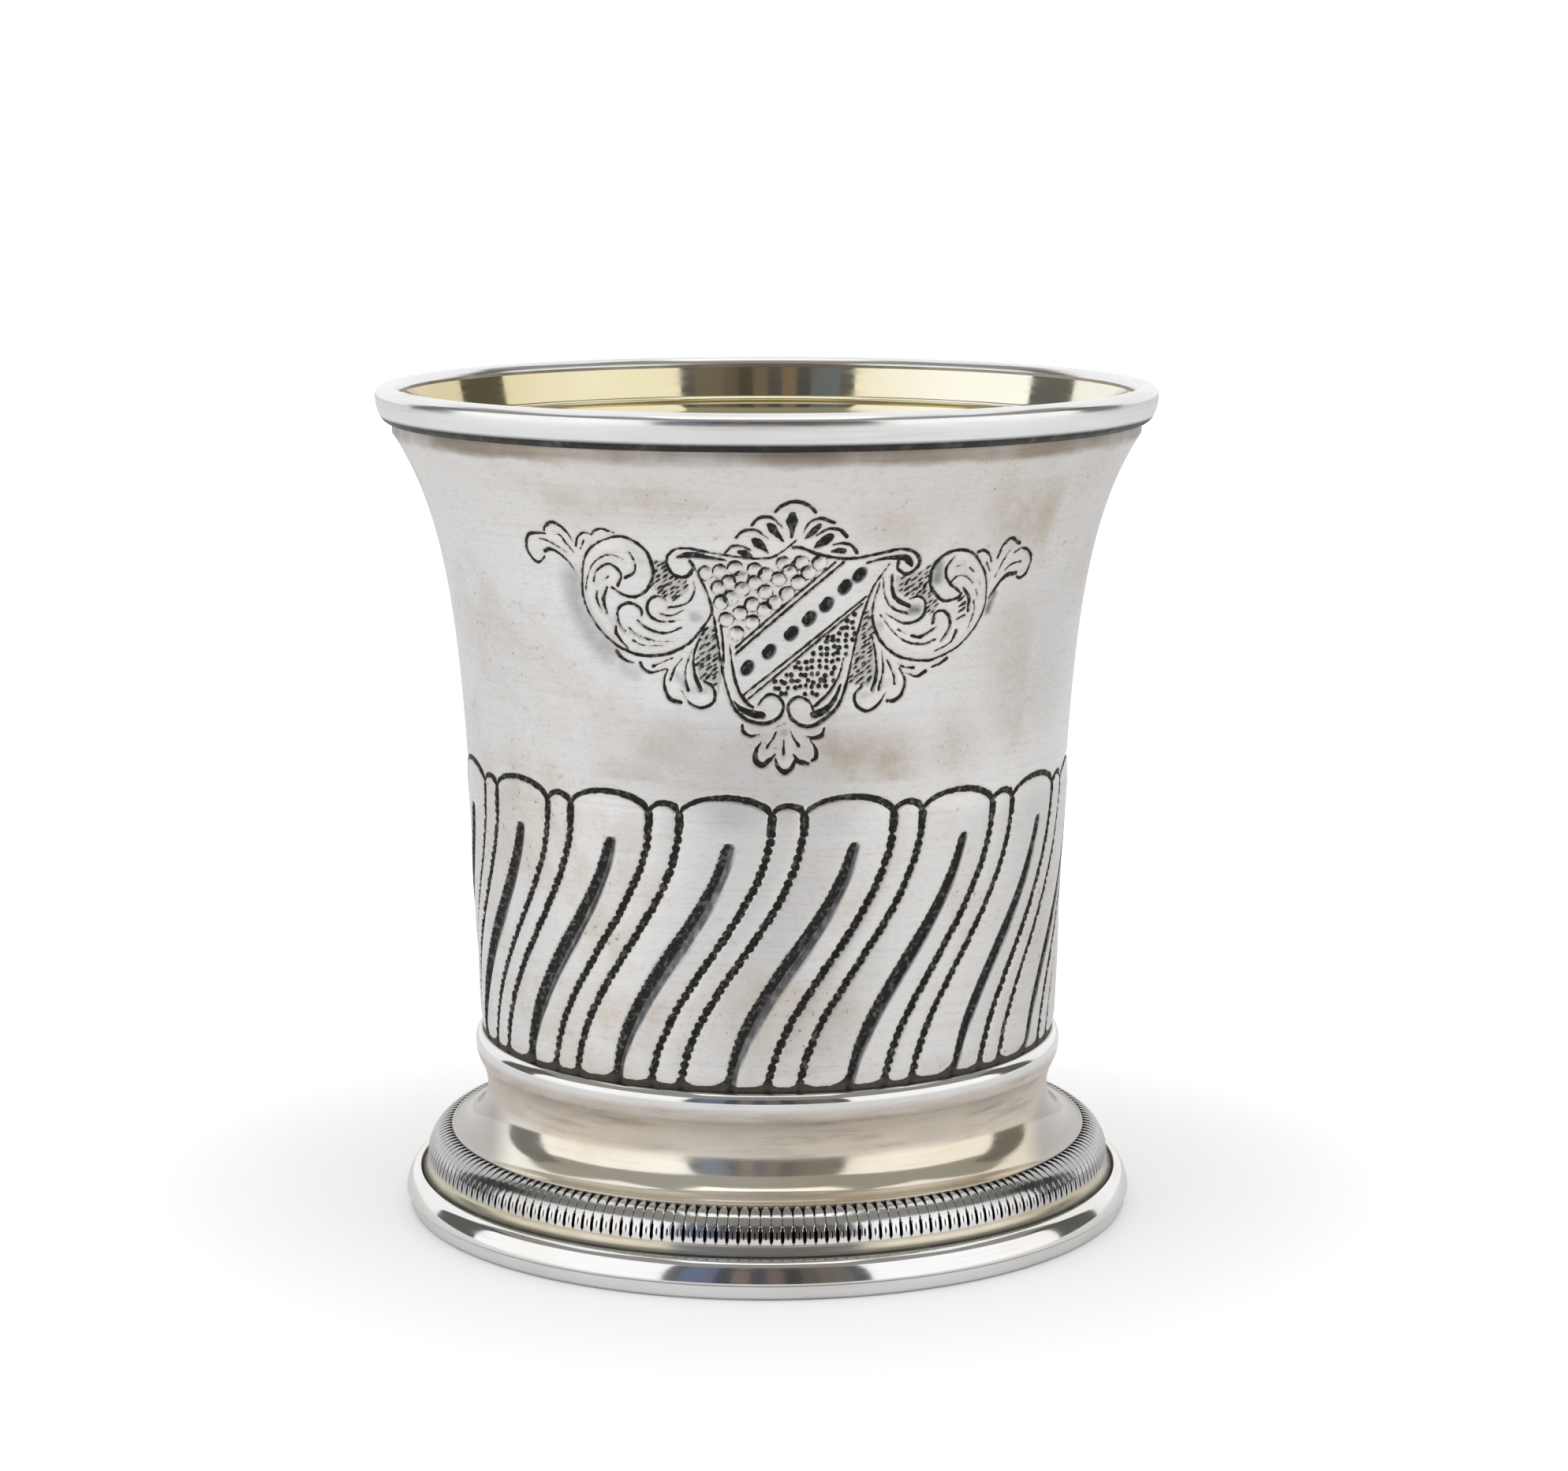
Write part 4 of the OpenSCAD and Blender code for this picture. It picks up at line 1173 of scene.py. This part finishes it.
def turned_silver(name, colors, rough, haze, flank_shade=None, front=None):
    """Turned rings: silver with a thin haze, dull warm tarnish, and dark grime and painted shade where the
    mesh says so.

    The flanks, left and right of the front, may be painted in shade, and the front's tarnish may be painted
    darker as a dark reflection.
    """
    clean, worn_clean, tarnish = colors
    m = Paint(name, clean)
    middle = m.off_middle()
    m.coat(worn_clean, m.remap(m.noise(45), .42, .66))
    if flank_shade:
        # Painted shade on the flanks, left and right of the front.
        m.coat(flank_shade, m.remap(middle, .0286, .0322, 0, .9))
    streak = m.noise(80, (1, 1, 30), detail=5, rough=.7)
    m.coat(tarnish, m.remap(streak, .52, .8, 0, .4))
    # The front's tarnish is painted darker here, as a painted dark reflection.
    if front:
        tarnish = m.mix(m.remap(middle, .0115, .009), tarnish, front)
    warm = m.times(m.layer("warm"), m.remap(m.noise(160, (1, 1, 2), detail=5), .25, .65, .65, 1))
    m.coat(tarnish, warm)
    smear = m.remap(m.noise(70, (1, 1, 9), detail=6, rough=.65), .48, .72, 0, .75)
    m.coat(BROWN_TARNISH, m.times(warm, smear))
    # Dark joints and grooves from the mesh, with painted shadow at the table and painted shade under the rim
    # and over the collar.
    grime_and_shade = m.times(m.layer("grime_and_shade"), m.remap(m.noise(500), .2, .55, .9, 1))
    m.coat(OXIDE, grime_and_shade)
    dull = m.plus(m.times(warm, .22), m.times(grime_and_shade, .3))
    roughness = m.plus(m.remap(streak, .3, .7, rough, 2 * rough), dull)
    return m.done(m.remap(warm, 0, 1, 1 - haze, .45), roughness, m.noise(350, detail=2), .04)


def milled_silver():
    """The tongues: polished silver with painted shade on the upper shoulder and the flanks, with oxide in the
    slots.
    """
    m = Paint("milled_silver", TONGUE_SILVER)
    middle = m.off_middle()
    m.coat(WARM_PATINA, m.remap(m.noise(120), .4, .7, 0, .4))
    # Painted shade on the upper shoulder and towards the flanks.
    shoulder = m.times(m.remap(m.place("Z"), .0064, .0082), m.remap(middle, .014, .03, .3, .95))
    m.coat(SHOULDER_SHADE_SILVER, m.larger(shoulder, m.remap(middle, .022, .034, 0, .6)))
    m.coat(OXIDE, m.remap(m.layer("cut"), .09, .015))
    return m.done(1, m.remap(m.noise(700), .3, .7, .1, .2))


def gilt():
    """Gilding with slow colour changes, painted shade on the left and a painted highlight on the right,
    polished at the lip and satin further down.
    """
    m = Paint("gilt", GILT)
    x = m.place("X")
    m.coat(DEEP_GILT, m.remap(m.noise(45, detail=3), .35, .7))
    # Painted shade on the left of the lining and a painted highlight on its right.
    m.coat(LEFT_SHADE_GILT, m.remap(x, -.018, -.036, 0, .8))
    m.coat(RIGHT_HIGHLIGHT_GILT, m.remap(x, .008, .026, 0, .8))
    polish = m.remap(m.noise(60, (1, 1, 25), detail=5), .3, .7, .05, .12)
    return m.done(.94, m.plus(polish, m.remap(m.place("Z"), .0905, .084, 0, .16)))


# Studio

PHOTO_W = 1988
CAMERA_AT = (1.97, -440, 129.35)
CAMERA_DOWN = 9.57
FOCAL_PX = 4828
SENSOR = 36.0
WORLD_LIGHT = .75


def add_camera():
    """The camera at the photograph's viewing angle."""
    data = bpy.data.cameras.new("camera")
    data.sensor_fit = "HORIZONTAL"
    data.sensor_width = SENSOR
    data.lens = FOCAL_PX * SENSOR / PHOTO_W
    data.clip_start = .01
    obj = bpy.data.objects.new("camera", data)
    obj.location = [c * MM for c in CAMERA_AT]
    obj.rotation_euler = (math.radians(90 - CAMERA_DOWN), 0, 0)
    bpy.context.scene.collection.objects.link(obj)
    bpy.context.scene.camera = obj


def add_world():
    """White to the camera and in reflections, softer as light."""
    world = bpy.data.worlds.new("studio")
    bpy.context.scene.world = world
    world.use_nodes = True
    nodes = world.node_tree.nodes
    link = world.node_tree.links.new
    background = nodes["Background"]
    background.inputs["Color"].default_value = (1, 1, 1, 1)
    path = nodes.new("ShaderNodeLightPath")
    seen = path.outputs["Is Camera Ray"]
    for ray in ("Is Glossy Ray", "Is Transmission Ray"):
        either = nodes.new("ShaderNodeMath")
        either.operation = "MAXIMUM"
        link(seen, either.inputs[0])
        link(path.outputs[ray], either.inputs[1])
        seen = either.outputs["Value"]
    level = nodes.new("ShaderNodeMapRange")
    level.inputs["To Min"].default_value = WORLD_LIGHT
    level.inputs["To Max"].default_value = 1
    link(seen, level.inputs["Value"])
    link(level.outputs["Result"], background.inputs["Strength"])


def add_floor():
    """A white floor that keeps the object's shadow and turns white towards the horizon."""
    bpy.ops.mesh.primitive_plane_add(size=12, location=(0, 0, 0))
    floor = bpy.context.object
    floor.name = "floor"
    m = Paint("floor", (.86, .86, .86))
    m.put("Specular IOR Level", .1)
    reach = m.nodes.new("ShaderNodeVectorMath")
    reach.operation = "LENGTH"
    m.join(m.nodes.new("ShaderNodeTexCoord").outputs["Object"], reach.inputs[0])
    seen = m.nodes.new("ShaderNodeLightPath").outputs["Is Camera Ray"]
    m.put("Emission Strength", m.times(seen, m.remap(reach.outputs["Value"], .05, .2, .2, 1)))
    m.put("Emission Color", (1, 1, 1))
    floor.data.materials.append(m.done(0, .8))


def turned_to(aim, lamp):
    """Rotation that points a card's face, or a lamp's light, along a direction."""
    x, y, z = -aim if lamp else aim
    return math.atan2(math.hypot(x, y), z), 0, math.atan2(x, -y)


def add_card(name, size, at, toward, color):
    """A plain card that only reflections see."""
    bpy.ops.mesh.primitive_plane_add(size=1, location=[c * MM for c in at])
    card = bpy.context.object
    card.name = name
    card.scale = (size[0] * MM, size[1] * MM, 1)
    card.rotation_euler = turned_to(np.array(toward) - np.array(at), lamp=False)
    m = Paint(name, (0, 0, 0))
    m.put("Specular IOR Level", 0)
    m.put("Emission Color", color)
    m.put("Emission Strength", 1)
    card.data.materials.append(m.done(0, .5))
    card.visible_camera = False
    card.visible_diffuse = False
    card.visible_shadow = False


def add_lamp(name, size, at, toward, brightness):
    """A soft box as bright as a white surface times its brightness."""
    data = bpy.data.lights.new(name, "AREA")
    data.shape = "RECTANGLE"
    data.size, data.size_y = size[0] * MM, size[1] * MM
    data.energy = brightness * math.pi * data.size * data.size_y
    obj = bpy.data.objects.new(name, data)
    obj.location = [c * MM for c in at]
    obj.rotation_euler = turned_to(np.array(toward) - np.array(at), lamp=True)
    obj.visible_camera = False
    bpy.context.scene.collection.objects.link(obj)


# The room that the polished rings show: two tall soft boxes with black backs, a dark strip between
# them where the camera stands, a dark strip beyond each, a grey ceiling with one lamp, and white
# all round behind. Angles are in degrees from the front and distances in mm.
GAP_DEG = 31
BOX_DEG = 100
EDGE_DEG = 122
BOX_FACE_DEG = 45
BOX_TOP_DEG = 39
GAP_AWAY = 600
BOX_AWAY = 800
BACK_AWAY = 805
EDGE_AWAY = 900
LAMP_Z = 1050
CEILING_Z = 1150
GAP_COLORS = [(.10, .10, .11), (.12, .16, .26), (.13, .15, .22), (.05, .055, .07), (.20, .14, .12),
              (.06, .06, .08), (.15, .12, .11), (.04, .04, .04), (.10, .09, .08), (.15, .12, .10),
              (.14, .13, .12), (.08, .08, .10)]
BLACK = (0, 0, 0)
EDGE_COLOR = (.09, .09, .08)
CEILING_COLOR = (.28, .28, .25)
LAMP_LEVEL = 1.12


def add_side(name, start, end, face, distance, add, value):
    """An upright card or soft box from the floor up, from start to end degrees round the beaker.

    Its plane stands at a distance in the direction of face.
    """
    low, high = (distance * math.tan(math.radians(edge - face)) for edge in (start, end))
    top = distance * math.tan(math.radians(BOX_TOP_DEG))
    along_x, along_y = math.cos(math.radians(face)), math.sin(math.radians(face))
    x, y, _ = on_axis(np.radians(face), distance, 0)
    shift = (low + high) / 2
    at = np.array([x + shift * along_x, y + shift * along_y, top / 2])
    add(name, (abs(high - low), top), at, at - np.array([x, y, 0]), value)


def add_overhead(name, size, x, y, z, add, value):
    """A card or soft box overhead that faces down."""
    add(name, size, (x, y, z), (x, y, 0), value)


def add_studio():
    """The camera, the white surroundings, the lamps and the cards."""
    add_camera()
    add_world()
    add_floor()
    for name, side in (("left", -1), ("right", 1)):
        box = side * GAP_DEG, side * BOX_DEG, side * BOX_FACE_DEG
        add_side(name + "_box", *box, BOX_AWAY, add_lamp, LAMP_LEVEL)
        add_side(name + "_box_back", *box, BACK_AWAY, add_card, BLACK)
        edge = side * BOX_DEG, side * EDGE_DEG, side * EDGE_DEG
        add_side(name + "_edge", *edge, EDGE_AWAY, add_card, EDGE_COLOR)
        add_overhead(name + "_wing", (1500, 800), side * 1450, 500, CEILING_Z, add_card, CEILING_COLOR)
    step = 2 * GAP_DEG / len(GAP_COLORS)
    for k, color in enumerate(GAP_COLORS):
        start = k * step - GAP_DEG
        add_side(f"gap_{k}", start, start + step, 0, GAP_AWAY, add_card, color)
    add_overhead("top_box", (620, 450), 0, -100, LAMP_Z, add_lamp, LAMP_LEVEL)
    add_overhead("ceiling", (4400, 2100), 0, -950, CEILING_Z, add_card, CEILING_COLOR)
    bpy.context.scene.view_settings.view_transform = "Standard"


def build():
    """All pieces of the beaker, then the studio."""
    wall = satin_silver()
    polished = turned_silver("polished_silver", POLISHED, .06, .03)
    rim = turned_silver("polished_rim", POLISHED, .13, .03)
    base = turned_silver("polished_base", BASE_SILVER, .06, .03, front=BASE_FRONT_SHADE)
    foot = turned_silver("foot_silver", FOOT_SILVER, .08, .12, flank_shade=FOOT_FLANK_SHADE)
    lathe("stand_ring_turned", stand_section(), polished, "stand_ring")
    lathe("base_moulding_turned", base_section(), base, "base_moulding")
    build_band(milled_silver())
    lathe("foot_spool_spun", spool_section(), foot, "foot_spool")
    lathe("collar_turned", collar_section(), polished, "collar_ring")
    build_wall(wall)
    lathe("gilt_inside", lining_section(), gilt(), "gilt_lining")
    lathe("rim_turned", rim_section(), rim, "rim_wire")
    floor_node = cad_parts["cup_floor"]
    floor_node.data.materials.clear()
    floor_node.data.materials.append(foot)
    add_studio()


build()
